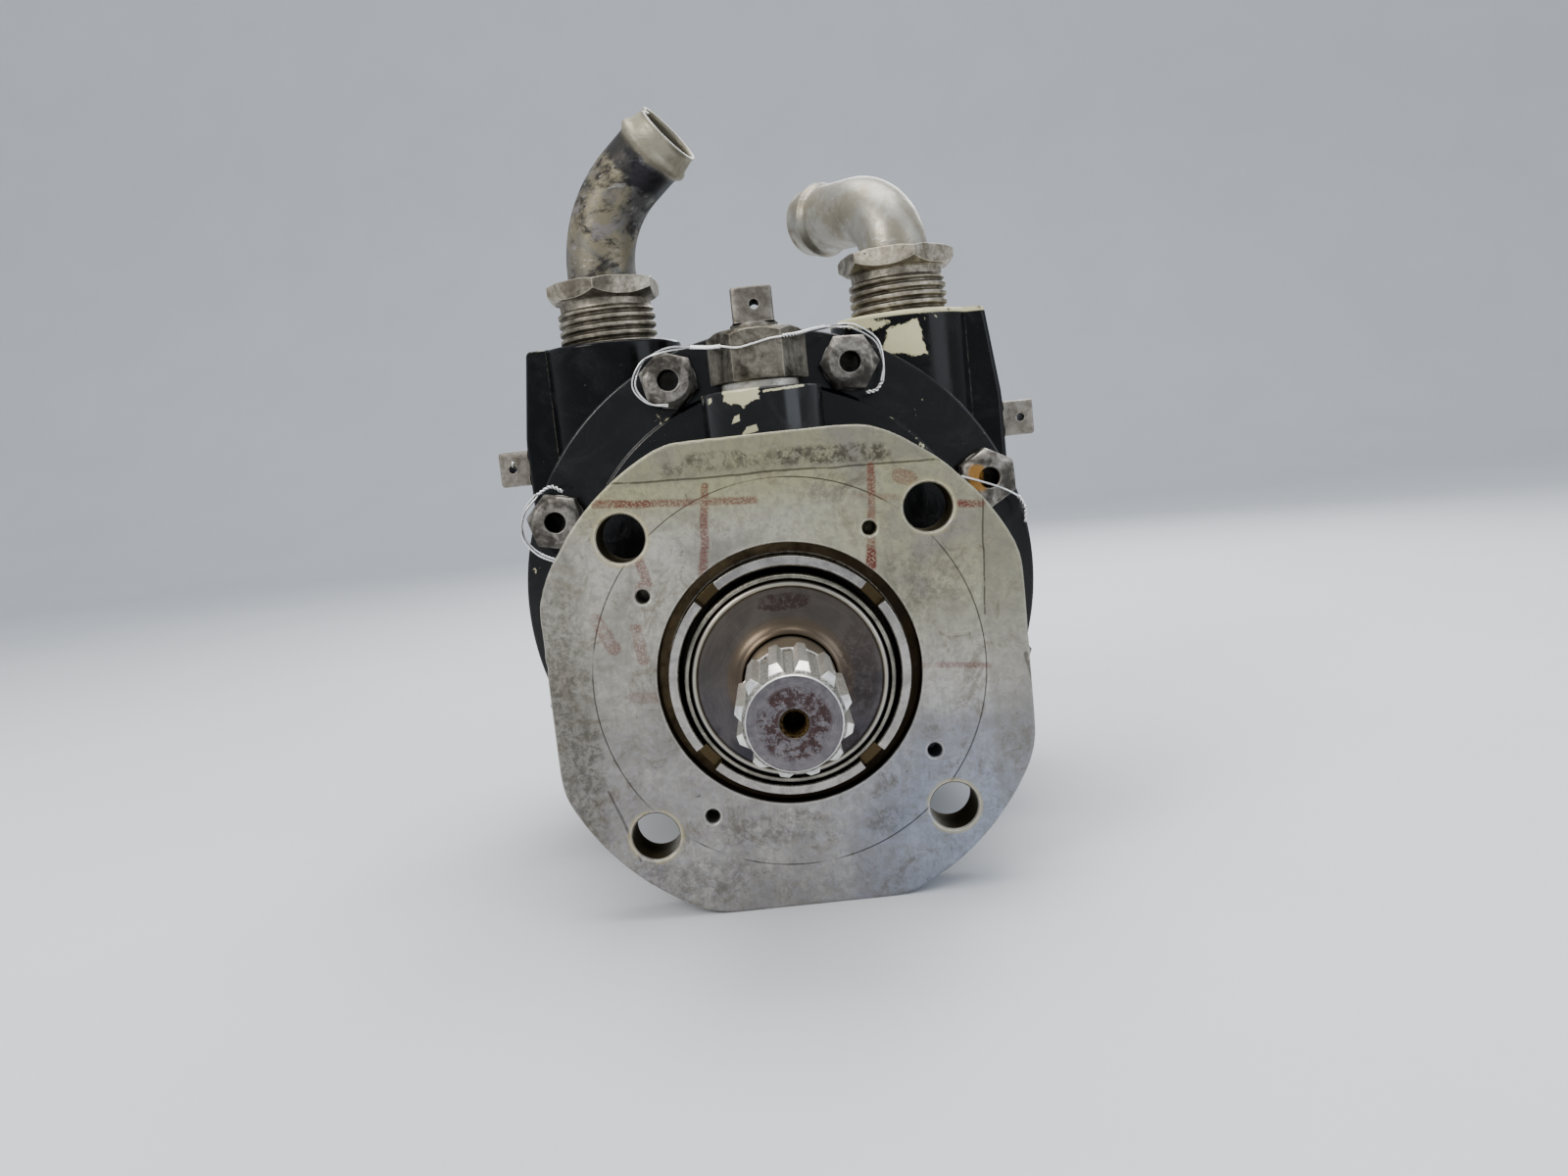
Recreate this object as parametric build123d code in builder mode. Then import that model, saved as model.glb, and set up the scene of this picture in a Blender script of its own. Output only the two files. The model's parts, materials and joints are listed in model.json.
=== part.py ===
from build123d import *

# Hydraulic gear motor: a four-bolt mounting flange, a splined drive shaft and two tube ports.
# The shaft axis is the Y axis, and the mounting face is the plane y = 0, facing -Y.
# Lengths are in millimetres. Stations are distances along Y, and heights are along Z.

import os
from math import atan2, cos, degrees, pi, radians, sin, sqrt, tan

os.makedirs("parts", exist_ok=True)

# ---------------------------------------------------------------- driving dimensions
BOLT_PATTERN = 89.8              # spacing of the four mounting holes, a 127 mm (5 in) circle
MOUNT_HOLE_R = 7.145             # 9/16 in holes
GEAR_CENTRES = 38.1              # 1.5 in between the two gears
TEETH = 12
MODULE = GEAR_CENTRES / TEETH
PRESSURE_ANGLE = radians(25)
BACKLASH = 0.10                  # taken off the thickness of each tooth
RUN = 0.03                       # radial clearance of running and sliding fits
BUSH_RUN = 0.02                  # radial clearance of a shaft in its bush

CASE_Z = GEAR_CENTRES / 2        # the round case is centred between the gears
CASE_R = 88.0
DRIVEN_Z = GEAR_CENTRES

FLANGE_R = 76.5                  # mounting flange: corner radius, flats and thickness
FLANGE_FLATS = 142.0
FLANGE_BLEND = 20.0              # radius between a corner and a flat
FLANGE_BACK = 15.0
NECK_R = 48.0
STEP_R = 69.0                    # low raised step on the front of the case flange
STEP_FRONT = 59.0
DISC_FRONT = 62.0                # stations of the case joint faces
JOINT_FRONT = 76.0
JOINT_REAR = 136.0
REAR = 154.0
END_FLANGE_BACK = 148.0
END_PAD_R = 66.0                 # raised pad on the back of the end cover
END_R = FLANGE_FLATS / 2 + CASE_Z  # the end cover rests level with the flange's bottom flat

NOSE = -62.0                     # drive shaft and spline
SPLINE_BACK = -30.0
SPLINE_TIP_R = 14.7
SPLINE_ROOT_R = 12.2
NOSE_R = 11.9
SPLINE_TEETH = 12
JOURNAL_R = 13.2                 # seal journal
SEAT_R = 12.5                    # ball bearing seat
SEAT_BACK = 34.0
WAIST_R = 11.0
NOSE_HOLE_R = 2.9                # tapped puller hole
NOSE_HOLE_DEPTH = 14.0
NOSE_CONE = 4.5                  # length of the cone that cuts the spline teeth back
FRONT_JOURNAL_R = 10.0
GEAR_SEAT_R = 9.525
REAR_JOURNAL_R = 9.5

GEAR_FRONT = 94.0                # chamber between the bearing blocks
GEAR_BACK = 118.0
TIP_R = GEAR_CENTRES / 2 + MODULE
ROOT_R = GEAR_CENTRES / 2 - 1.25 * MODULE
CHAMBER_R = TIP_R + 0.045

KEY = 4.76                       # square key
KEY_FRONT = 97.0
KEY_BACK = 115.0

COUNTERBORE_R = 39.0             # front bores of the cover
NUT_BORE_R = 35.6
BEARING_R = 31.0                 # 25 x 62 x 17 ball bearing
COUNTERBORE_BACK = 5.0
BEARING_FRONT = 12.0
BEARING_BACK = 29.0
CAVITY_R = 24.0
CAVITY_BACK = 48.0
TAPPED_CIRCLE_R = 48.9           # four small tapped holes in the mounting face
TAPPED_START = 56.0
TAPPED_R = 2.1
TAPPED_DEPTH = 11.0

NUT_FRONT = -3.5                 # slotted ring nut
NUT_INNER_R = 32.1
NUT_BACK = 9.0
SLOT_WIDTH = 6.5
SLOT_FLOOR = 0.6
SLOT_START = 39.5
RIM_FRONT = -7.5                 # seal carrier's bright rim
RIM_INNER_R = 29.0
RIM_OUTER_R = 30.9
SNAP_GROOVE_R = 11.7             # retaining ring and its groove behind the bearing
SNAP_RING_R = 15.2
SNAP_WIDTH = 1.4

BALLS = 8
BALL_R = 5.5
INNER_RACE_R = 17.5
OUTER_RACE_R = 26.0
PITCH_R = (INNER_RACE_R + OUTER_RACE_R) / 2

BOLT_CIRCLE_R = 79.375           # eight 3/8 in bolts on a 6.25 in circle
BOLT_R = 4.76
BOLT_HOLE_R = 5.1
BOLT_THREAD_R = 4.82             # tapped hole in the case, shown plain
BOLT_DEPTH = 16.0
BOLTS = 8
BOLT_START = 22.5
HEX_FLATS = 17.46
HEAD_HEIGHT = 7.4
HEAD_LIP = 0.6                   # round lip on the head, with a drilled hole
HEAD_HOLE_R = 3.4
HEAD_HOLE_DEPTH = 5.6
WASHER_R = 9.0
WASHER_HEIGHT = 1.6

PORT_X = 54.7                    # the two upright port bosses
PORT_Y = 106.0
PORT_TOP = 110.5
PORT_BOSS_R = 26.4
PORT_PAD_X = 88.0                # pads that carry the side plugs, drawn in towards the top
PORT_PAD_TOP_X = 84.0
PORT_PAD_HALF = 15.0
PORT_THREAD_R = 18.1
PORT_BORE_R = 11.0
PASSAGE_R = 10.0
SEAL_BOTTOM = 81.0
SEAL_TOP = 84.0
COLLAR_TOP = 90.0
COLLAR_R = 16.0
NUT_UNDER = 127.6
NUT_HEIGHT = 6.6
NUT_FLATS = 38.1
THREAD_PITCH = 3.1
THREAD_DEPTH = 1.3
THREAD_PLAY = 0.05               # radial gap of the plain threads

TUBE_R = 12.7                    # 1 in tubes
TUBE_WALL = 1.7
BEAD_R = 14.4
BEAD_BACK = -9.2                 # the hose bead, measured from the tube's end
BEAD_WIDTH = 3.0

DRAIN_Y = 35.0                   # upright drain boss on the neck
DRAIN_BOSS_R = 19.2
DRAIN_TOP = 85.0
DRAIN_THREAD_R = 8.0
DRAIN_HEX_FLATS = 27.0
DRAIN_HEX_TOP = 103.4
DRAIN_BORE_R = 5.5
GASKET_R = 12.2
GASKET_HEIGHT = 2.6

PLUG_Z = 69.0                    # square-head plugs in the port pads
PLUG_THREAD_R = 6.0
PLUG_SQUARE = 13.0
PLUG_HEAD = 10.0
PLUG_COLLAR = 2.6
PLUG_REACH = 70.0
WIRE_HOLE_R = 1.5

DOWEL_R = 3.0
DOWEL_X = 66.0
DOWEL_DEPTH = 6.0
DOWEL_HALF = 5.5
RING_R = 57.0                    # case sealing rings
RING_WIDTH = 2.8
RING_DEPTH = 2.2
SEGMENTS = 7                     # points on an involute flank

DRIVE_AXIS = Axis((0, 0, 0), (0, 1, 0))
DRIVEN_AXIS = Axis((0, 0, DRIVEN_Z), (0, 1, 0))


# ---------------------------------------------------------------- shared shapes
def station(y):
    """A plane across the shaft at station y: its x is X, its y is Z and its normal is -Y."""
    return Plane.XZ.offset(-y)


def disc(radius, front, back, x=0.0, z=0.0, mode=Mode.ADD):
    """A round bar along Y from one station to another."""
    with BuildSketch(station(back)) as section:
        with Locations((x, z)):
            Circle(radius)
    extrude(section.sketch, amount=back - front, mode=mode)


def upright(radius, bottom, top, x=0.0, y=0.0, mode=Mode.ADD):
    """A round bar along Z from one height to another."""
    with BuildSketch(Plane.XY.offset(bottom)) as section:
        with Locations((x, y)):
            Circle(radius)
    extrude(section.sketch, amount=top - bottom, mode=mode)


def turned(outline, axis=DRIVE_AXIS, mode=Mode.ADD):
    """Revolve a closed (station, radius) outline about an axis along Y."""
    height = axis.position.Z
    with BuildSketch(Plane.YZ) as section:
        with BuildLine():
            Polyline([(y, height + r) for y, r in outline], close=True)
        make_face()
    revolve(section.sketch, axis=axis, mode=mode)


def turned_up(outline, x, y, mode=Mode.ADD):
    """Revolve a closed (radius, height) outline about an upright axis at x, y."""
    with BuildSketch(Plane.XZ.offset(-y)) as section:
        with BuildLine():
            Polyline([(x + r, z) for r, z in outline], close=True)
        make_face()
    revolve(section.sketch, axis=Axis((x, y, 0), (0, 0, 1)), mode=mode)


def polar_points(radius, count, start, height=0.0):
    """Points (x, z) around a circle about an axis along Y."""
    angles = [radians(start + 360 * i / count) for i in range(count)]
    return [(radius * cos(a), height + radius * sin(a)) for a in angles]


def finish(piece, label):
    """Label a finished piece and write it."""
    piece.part.label = label
    export_step(piece.part, f"parts/{label}.step")


BOLT_POINTS = polar_points(BOLT_CIRCLE_R, BOLTS, BOLT_START, CASE_Z)
PAD_OUTLINE = [(PORT_X, CASE_Z), (PORT_PAD_X, CASE_Z), (PORT_PAD_X, PLUG_Z + 9),
               (PORT_PAD_TOP_X, PORT_TOP), (PORT_X, PORT_TOP)]
MOUNT_POINTS = [(sx * BOLT_PATTERN / 2, sz * BOLT_PATTERN / 2) for sx in (-1, 1) for sz in (-1, 1)]


# ---------------------------------------------------------------- housings
with BuildPart() as front_cover:
    # square mounting flange with round corners, then the neck and the case flange behind it
    with BuildSketch(station(FLANGE_BACK)) as flange_outline:
        Circle(FLANGE_R)
        Rectangle(FLANGE_FLATS, FLANGE_FLATS, mode=Mode.INTERSECT)
        fillet(flange_outline.vertices(), FLANGE_BLEND)
    extrude(flange_outline.sketch, amount=FLANGE_BACK)
    turned([(FLANGE_BACK - 1, 0), (FLANGE_BACK - 1, NECK_R + 3), (FLANGE_BACK, NECK_R + 3),
            (FLANGE_BACK + 3, NECK_R), (STEP_FRONT - 4, NECK_R), (STEP_FRONT, NECK_R + 3),
            (STEP_FRONT, 0)])
    disc(STEP_R, STEP_FRONT, JOINT_FRONT, z=CASE_Z)
    disc(CASE_R, DISC_FRONT, JOINT_FRONT, z=CASE_Z)
    upright(DRAIN_BOSS_R, 0, DRAIN_TOP, y=DRAIN_Y)
    # bores for the ring nut, the ball bearing and the shaft
    turned([(0, 0), (0, COUNTERBORE_R), (COUNTERBORE_BACK, COUNTERBORE_R),
            (COUNTERBORE_BACK, NUT_BORE_R), (BEARING_FRONT, NUT_BORE_R), (BEARING_FRONT, BEARING_R),
            (BEARING_BACK, BEARING_R), (BEARING_BACK, CAVITY_R), (CAVITY_BACK, CAVITY_R),
            (CAVITY_BACK, SEAT_R), (JOINT_FRONT, SEAT_R), (JOINT_FRONT, 0)], mode=Mode.SUBTRACT)
    for x, z in MOUNT_POINTS:
        disc(MOUNT_HOLE_R, 0, FLANGE_BACK, x, z, mode=Mode.SUBTRACT)
    for x, z in polar_points(TAPPED_CIRCLE_R, 4, TAPPED_START):
        disc(TAPPED_R, 0, TAPPED_DEPTH, x, z, mode=Mode.SUBTRACT)
    for x, z in BOLT_POINTS:
        disc(BOLT_HOLE_R, DISC_FRONT, JOINT_FRONT, x, z, mode=Mode.SUBTRACT)
    for side in (-1, 1):
        disc(DOWEL_R, JOINT_FRONT - DOWEL_DEPTH, JOINT_FRONT, side * DOWEL_X, CASE_Z, mode=Mode.SUBTRACT)
    # drain passage into the bearing cavity
    upright(DRAIN_THREAD_R, 70, DRAIN_TOP, y=DRAIN_Y, mode=Mode.SUBTRACT)
    upright(5, CAVITY_R - 2, 70, y=DRAIN_Y, mode=Mode.SUBTRACT)
    # softened front rim of the case flange
    rim = front_cover.edges().filter_by(GeomType.CIRCLE).filter_by(
        lambda e: abs(e.radius - CASE_R) < 0.01 and abs(e.center().Y - DISC_FRONT) < 0.1)
    chamfer(rim, 0.8)
finish(front_cover, "front_cover")

with BuildPart() as case_body:
    disc(CASE_R, JOINT_FRONT, JOINT_REAR, z=CASE_Z)
    for side in (-1, 1):
        upright(PORT_BOSS_R, CASE_Z, PORT_TOP, side * PORT_X, PORT_Y)
        with BuildSketch(station(PORT_Y + PORT_PAD_HALF)) as pad:
            with BuildLine():
                Polyline([(side * x, z) for x, z in PAD_OUTLINE], close=True)
            make_face()
        extrude(pad.sketch, amount=2 * PORT_PAD_HALF)
    # gear chamber: two overlapping bores right through
    for z in (0, DRIVEN_Z):
        disc(CHAMBER_R, JOINT_FRONT, JOINT_REAR, z=z, mode=Mode.SUBTRACT)
    for side in (-1, 1):
        # stepped port bore, upright passage, cross passage and plug hole
        upright(PORT_THREAD_R, COLLAR_TOP, PORT_TOP, side * PORT_X, PORT_Y, mode=Mode.SUBTRACT)
        upright(COLLAR_R + 0.1, SEAL_BOTTOM, COLLAR_TOP, side * PORT_X, PORT_Y, mode=Mode.SUBTRACT)
        upright(PORT_BORE_R, CASE_Z - 8, SEAL_BOTTOM, side * PORT_X, PORT_Y, mode=Mode.SUBTRACT)
        with BuildSketch(Plane.YZ) as passage:
            with Locations((PORT_Y, CASE_Z)):
                Circle(PASSAGE_R)
        extrude(passage.sketch, amount=side * PORT_X, mode=Mode.SUBTRACT)
        with BuildSketch(Plane.YZ.offset(side * PORT_X)) as plug_hole:
            with Locations((PORT_Y, PLUG_Z)):
                Circle(PLUG_THREAD_R)
        extrude(plug_hole.sketch, amount=side * (PORT_PAD_X - PORT_X), mode=Mode.SUBTRACT)
    for x, z in BOLT_POINTS:
        disc(BOLT_THREAD_R, JOINT_FRONT, JOINT_FRONT + BOLT_DEPTH + 2, x, z, mode=Mode.SUBTRACT)
        disc(BOLT_THREAD_R, JOINT_REAR - BOLT_DEPTH - 2, JOINT_REAR, x, z, mode=Mode.SUBTRACT)
    for side in (-1, 1):
        disc(DOWEL_R, JOINT_FRONT, JOINT_FRONT + DOWEL_DEPTH, side * DOWEL_X, CASE_Z, mode=Mode.SUBTRACT)
        disc(DOWEL_R, JOINT_REAR - DOWEL_DEPTH, JOINT_REAR, side * DOWEL_X, CASE_Z, mode=Mode.SUBTRACT)
    # grooves for the sealing rings in both joint faces
    for front, back in ((JOINT_FRONT, JOINT_FRONT + RING_DEPTH), (JOINT_REAR - RING_DEPTH, JOINT_REAR)):
        with BuildSketch(station(back)) as groove:
            with Locations((0, CASE_Z)):
                Circle(RING_R + RING_WIDTH / 2)
                Circle(RING_R - RING_WIDTH / 2, mode=Mode.SUBTRACT)
        extrude(groove.sketch, amount=back - front, mode=Mode.SUBTRACT)
finish(case_body, "case_body")

with BuildPart() as end_cover:
    disc(END_R, JOINT_REAR, END_FLANGE_BACK, z=CASE_Z)
    disc(END_PAD_R, JOINT_REAR, REAR, z=CASE_Z)
    for x, z in BOLT_POINTS:
        disc(BOLT_HOLE_R, JOINT_REAR, END_FLANGE_BACK, x, z, mode=Mode.SUBTRACT)
    for side in (-1, 1):
        disc(DOWEL_R, JOINT_REAR, JOINT_REAR + DOWEL_DEPTH, side * DOWEL_X, CASE_Z, mode=Mode.SUBTRACT)
finish(end_cover, "end_cover")


# ---------------------------------------------------------------- case fasteners and joints
def case_bolts(label, seat, direction):
    """Hex bolts with drilled heads; direction is -1 for heads facing the front."""
    with BuildPart() as bolts:
        for x, z in BOLT_POINTS:
            under = seat + direction * WASHER_HEIGHT
            top = under + direction * HEAD_HEIGHT
            lip_top = top + direction * HEAD_LIP
            with BuildSketch(station(max(under, top))) as head:
                with Locations((x, z)):
                    RegularPolygon(HEX_FLATS / 2, 6, major_radius=False)
            extrude(head.sketch, amount=HEAD_HEIGHT)
            lip = sorted((top, lip_top))
            disc(HEX_FLATS / 2 - 0.7, lip[0], lip[1], x, z)
            face = JOINT_FRONT if direction < 0 else JOINT_REAR
            tip = face - direction * BOLT_DEPTH
            shank = sorted((under, tip))
            disc(BOLT_R, shank[0], shank[1], x, z)
            drilled = sorted((lip_top, lip_top - direction * HEAD_HOLE_DEPTH))
            disc(HEAD_HOLE_R, drilled[0], drilled[1], x, z, mode=Mode.SUBTRACT)
    finish(bolts, label)


def case_washers(label, seat, direction):
    """Plain washers under the case bolts."""
    ends = sorted((seat, seat + direction * WASHER_HEIGHT))
    with BuildPart() as washers:
        for x, z in BOLT_POINTS:
            disc(WASHER_R, ends[0], ends[1], x, z)
            disc(BOLT_HOLE_R, ends[0], ends[1], x, z, mode=Mode.SUBTRACT)
    finish(washers, label)


case_bolts("front_case_bolts", DISC_FRONT, -1)
case_washers("front_bolt_washers", DISC_FRONT, -1)
case_bolts("rear_case_bolts", END_FLANGE_BACK, 1)
case_washers("rear_bolt_washers", END_FLANGE_BACK, 1)

for label, front in (("front_case_seal", JOINT_FRONT), ("rear_case_seal", JOINT_REAR - RING_DEPTH)):
    with BuildPart() as ring:
        with BuildSketch(station(front + RING_DEPTH)) as section:
            with Locations((0, CASE_Z)):
                Circle(RING_R + RING_WIDTH / 2)
                Circle(RING_R - RING_WIDTH / 2, mode=Mode.SUBTRACT)
        extrude(section.sketch, amount=RING_DEPTH)
    finish(ring, label)

for label, joint in (("front_dowel_pins", JOINT_FRONT), ("rear_dowel_pins", JOINT_REAR)):
    with BuildPart() as dowels:
        for side in (-1, 1):
            disc(DOWEL_R, joint - DOWEL_HALF, joint + DOWEL_HALF, side * DOWEL_X, CASE_Z)
    finish(dowels, label)

# ---------------------------------------------------------------- front bearing and seal
with BuildPart() as bearing_ring_nut:
    turned([(NUT_FRONT, NUT_INNER_R), (NUT_FRONT, NUT_BORE_R - THREAD_PLAY),
            (NUT_BACK, NUT_BORE_R - THREAD_PLAY), (NUT_BACK, NUT_INNER_R)])
    with BuildSketch(station(SLOT_FLOOR)) as slots:
        with PolarLocations(0, 4, start_angle=SLOT_START):
            with Locations((NUT_BORE_R - 2, 0)):
                Rectangle(8, SLOT_WIDTH)
    extrude(slots.sketch, amount=SLOT_FLOOR - NUT_FRONT, mode=Mode.SUBTRACT)
finish(bearing_ring_nut, "bearing_ring_nut")

with BuildPart() as seal_carrier:
    # the rim stands inside the ring nut, and its foot is clamped under the nut
    turned([(RIM_FRONT, RIM_INNER_R), (RIM_FRONT, RIM_OUTER_R), (NUT_BACK, RIM_OUTER_R), (NUT_BACK, 35.0),
            (BEARING_FRONT, 35.0), (BEARING_FRONT, 18), (10.5, 18), (10.5, 21), (1, 21), (1, 24), (7, 24),
            (7, RIM_INNER_R)])
finish(seal_carrier, "seal_carrier")

with BuildPart() as shaft_seal:
    turned([(2, JOURNAL_R + 1.5), (2, 21), (10.5, 21), (10.5, 19), (4, 19), (4, 16), (8, 15),
            (8, JOURNAL_R + RUN), (7, JOURNAL_R + RUN)])
finish(shaft_seal, "shaft_seal")

with BuildPart() as seal_cover_plate:
    # shallow domed plate with a raised hub, a rolled outer bead and a skirt in the carrier
    turned([(7, 27.7), (7, 28.5), (-7.0, 28.5), (-7.6, 28.1), (-7.0, 27.5), (-8.2, 21.6),
            (-9.3, 16.0), (-11.0, 14.2), (-11.0, 13.6), (-10.2, 13.6), (-8.5, 15.6), (-7.4, 21.6),
            (-6.2, 26.9), (-5.4, 27.7)])
finish(seal_cover_plate, "seal_cover_plate")

with BuildPart() as outer_race:
    turned([(BEARING_FRONT, OUTER_RACE_R), (BEARING_FRONT, BEARING_R), (BEARING_BACK, BEARING_R),
            (BEARING_BACK, OUTER_RACE_R)])
    with BuildSketch(Plane.YZ) as groove:
        with Locations(((BEARING_FRONT + BEARING_BACK) / 2, PITCH_R)):
            Circle(BALL_R + RUN)
    revolve(groove.sketch, axis=DRIVE_AXIS, mode=Mode.SUBTRACT)
finish(outer_race, "outer_race")

with BuildPart() as inner_race:
    turned([(BEARING_FRONT, SEAT_R), (BEARING_FRONT, INNER_RACE_R), (BEARING_BACK, INNER_RACE_R),
            (BEARING_BACK, SEAT_R)])
    with BuildSketch(Plane.YZ) as groove:
        with Locations(((BEARING_FRONT + BEARING_BACK) / 2, PITCH_R)):
            Circle(BALL_R + RUN)
    revolve(groove.sketch, axis=DRIVE_AXIS, mode=Mode.SUBTRACT)
finish(inner_race, "inner_race")

BALL_POINTS = polar_points(PITCH_R, BALLS, 180 / BALLS)
BEARING_MID = (BEARING_FRONT + BEARING_BACK) / 2

with BuildPart() as bearing_balls:
    with Locations([(x, BEARING_MID, z) for x, z in BALL_POINTS]):
        Sphere(BALL_R)
finish(bearing_balls, "bearing_balls")

with BuildPart() as ball_cage:
    turned([(BEARING_MID - 7, PITCH_R - 1.5), (BEARING_MID - 7, PITCH_R + 1.5),
            (BEARING_MID + 7, PITCH_R + 1.5), (BEARING_MID + 7, PITCH_R - 1.5)])
    for x, z in BALL_POINTS:
        with BuildSketch(Plane(origin=(0, BEARING_MID, 0), z_dir=(x, 0, z))) as pocket:
            Circle(BALL_R + 0.1)
        extrude(pocket.sketch, amount=OUTER_RACE_R, mode=Mode.SUBTRACT)
finish(ball_cage, "ball_cage")

with BuildPart() as retaining_ring:
    # open ring in its shaft groove behind the bearing
    turned([(BEARING_BACK, SNAP_GROOVE_R), (BEARING_BACK, SNAP_RING_R),
            (BEARING_BACK + SNAP_WIDTH, SNAP_RING_R), (BEARING_BACK + SNAP_WIDTH, SNAP_GROOVE_R)])
    with BuildSketch(station(BEARING_BACK + SNAP_WIDTH)) as gap:
        with Locations((0, 14)):
            Rectangle(6, 8)
    extrude(gap.sketch, amount=SNAP_WIDTH, mode=Mode.SUBTRACT)
finish(retaining_ring, "retaining_ring")


# ---------------------------------------------------------------- bearing blocks and bushes
def bearing_block(label, front, back, bore):
    """A figure-eight block that slides into the gear chamber and carries two bushes."""
    with BuildPart() as block:
        for z in (0, DRIVEN_Z):
            disc(CHAMBER_R - RUN, front, back, z=z)
        for z in (0, DRIVEN_Z):
            disc(bore, front, back, z=z, mode=Mode.SUBTRACT)
    finish(block, label)


def bush(label, front, back, inside, outside, z):
    """A plain bearing bush."""
    with BuildPart() as sleeve:
        disc(outside, front, back, z=z)
        disc(inside, front, back, z=z, mode=Mode.SUBTRACT)
    finish(sleeve, label)


BUSH_OUTSIDE = 12.7
BLOCKS = (("front", JOINT_FRONT, GEAR_FRONT, FRONT_JOURNAL_R),
          ("rear", GEAR_BACK, JOINT_REAR, REAR_JOURNAL_R))
for end, front, back, journal in BLOCKS:
    bearing_block(f"{end}_bearing_block", front, back, BUSH_OUTSIDE)
    for shaft, z in (("drive", 0), ("driven", DRIVEN_Z)):
        bush(f"{end}_{shaft}_bush", front, back, journal + BUSH_RUN, BUSH_OUTSIDE, z)


# ---------------------------------------------------------------- shafts, gears and keys
def keyway(z):
    """Cut a keyway along the top of a shaft or gear bore centred at height z."""
    with BuildSketch(station(KEY_BACK)) as slot:
        with Locations((0, z + GEAR_SEAT_R)):
            Rectangle(KEY, KEY)
    extrude(slot.sketch, amount=KEY_BACK - KEY_FRONT, mode=Mode.SUBTRACT)


with BuildSketch() as spline_tooth:
    # one tooth along +X, narrow at the tip
    with BuildLine():
        Polyline([(10, -2.4), (SPLINE_ROOT_R, -2.3), (SPLINE_TIP_R, -1.15), (SPLINE_TIP_R, 1.15),
                  (SPLINE_ROOT_R, 2.3), (10, 2.4)], close=True)
    make_face()

with BuildPart() as drive_shaft:
    # stepped shaft, largest at the seal journal, with a groove for the retaining ring
    turned([(NOSE, 0), (NOSE, NOSE_R), (NOSE + 0.3, SPLINE_ROOT_R), (SPLINE_BACK, SPLINE_ROOT_R),
            (SPLINE_BACK, JOURNAL_R), (BEARING_FRONT, JOURNAL_R), (BEARING_FRONT, SEAT_R),
            (BEARING_BACK, SEAT_R), (BEARING_BACK, SNAP_GROOVE_R), (BEARING_BACK + 1.5, SNAP_GROOVE_R),
            (BEARING_BACK + 1.5, SEAT_R), (SEAT_BACK, SEAT_R), (SEAT_BACK, WAIST_R),
            (JOINT_FRONT - 1, WAIST_R),
            (JOINT_FRONT - 1, FRONT_JOURNAL_R), (GEAR_FRONT, FRONT_JOURNAL_R), (GEAR_FRONT, GEAR_SEAT_R),
            (GEAR_BACK, GEAR_SEAT_R), (GEAR_BACK, REAR_JOURNAL_R), (JOINT_REAR - 1, REAR_JOURNAL_R),
            (JOINT_REAR - 1, 0)])
    # spline teeth, cut back to a cone at the nose
    with BuildSketch(station(SPLINE_BACK)) as teeth:
        with PolarLocations(0, SPLINE_TEETH, start_angle=15):
            add(spline_tooth.sketch)
    extrude(teeth.sketch, amount=SPLINE_BACK - NOSE)
    turned([(NOSE, NOSE_R), (NOSE, 20), (NOSE + 20, 20),
            (NOSE + NOSE_CONE, SPLINE_TIP_R)], mode=Mode.SUBTRACT)
    # tapped puller hole in the nose
    disc(NOSE_HOLE_R, NOSE, NOSE + NOSE_HOLE_DEPTH, mode=Mode.SUBTRACT)
    keyway(0)
finish(drive_shaft, "drive_shaft")

with BuildPart() as driven_shaft:
    turned([(JOINT_FRONT + 1, 0), (JOINT_FRONT + 1, FRONT_JOURNAL_R), (GEAR_FRONT, FRONT_JOURNAL_R),
            (GEAR_FRONT, GEAR_SEAT_R), (GEAR_BACK, GEAR_SEAT_R), (GEAR_BACK, REAR_JOURNAL_R),
            (JOINT_REAR - 1, REAR_JOURNAL_R), (JOINT_REAR - 1, 0)], DRIVEN_AXIS)
    keyway(DRIVEN_Z)
finish(driven_shaft, "driven_shaft")

for label, z in (("drive_key", 0), ("driven_key", DRIVEN_Z)):
    with BuildPart() as key:
        with BuildSketch(station(KEY_BACK)) as section:
            with Locations((0, z + GEAR_SEAT_R)):
                Rectangle(KEY, KEY)
        extrude(section.sketch, amount=KEY_BACK - KEY_FRONT)
    finish(key, label)

BASE_R = MODULE * TEETH / 2 * cos(PRESSURE_ANGLE)


def involute_point(radius, thickness_angle):
    """One point of a flank, which curves in towards the tooth's centre line, along +X."""
    involute = tan(PRESSURE_ANGLE) - PRESSURE_ANGLE
    unwound = sqrt((radius / BASE_R) ** 2 - 1)
    angle = thickness_angle + involute - (unwound - atan2(unwound, 1))
    return radius * cos(angle), radius * sin(angle)


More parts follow.
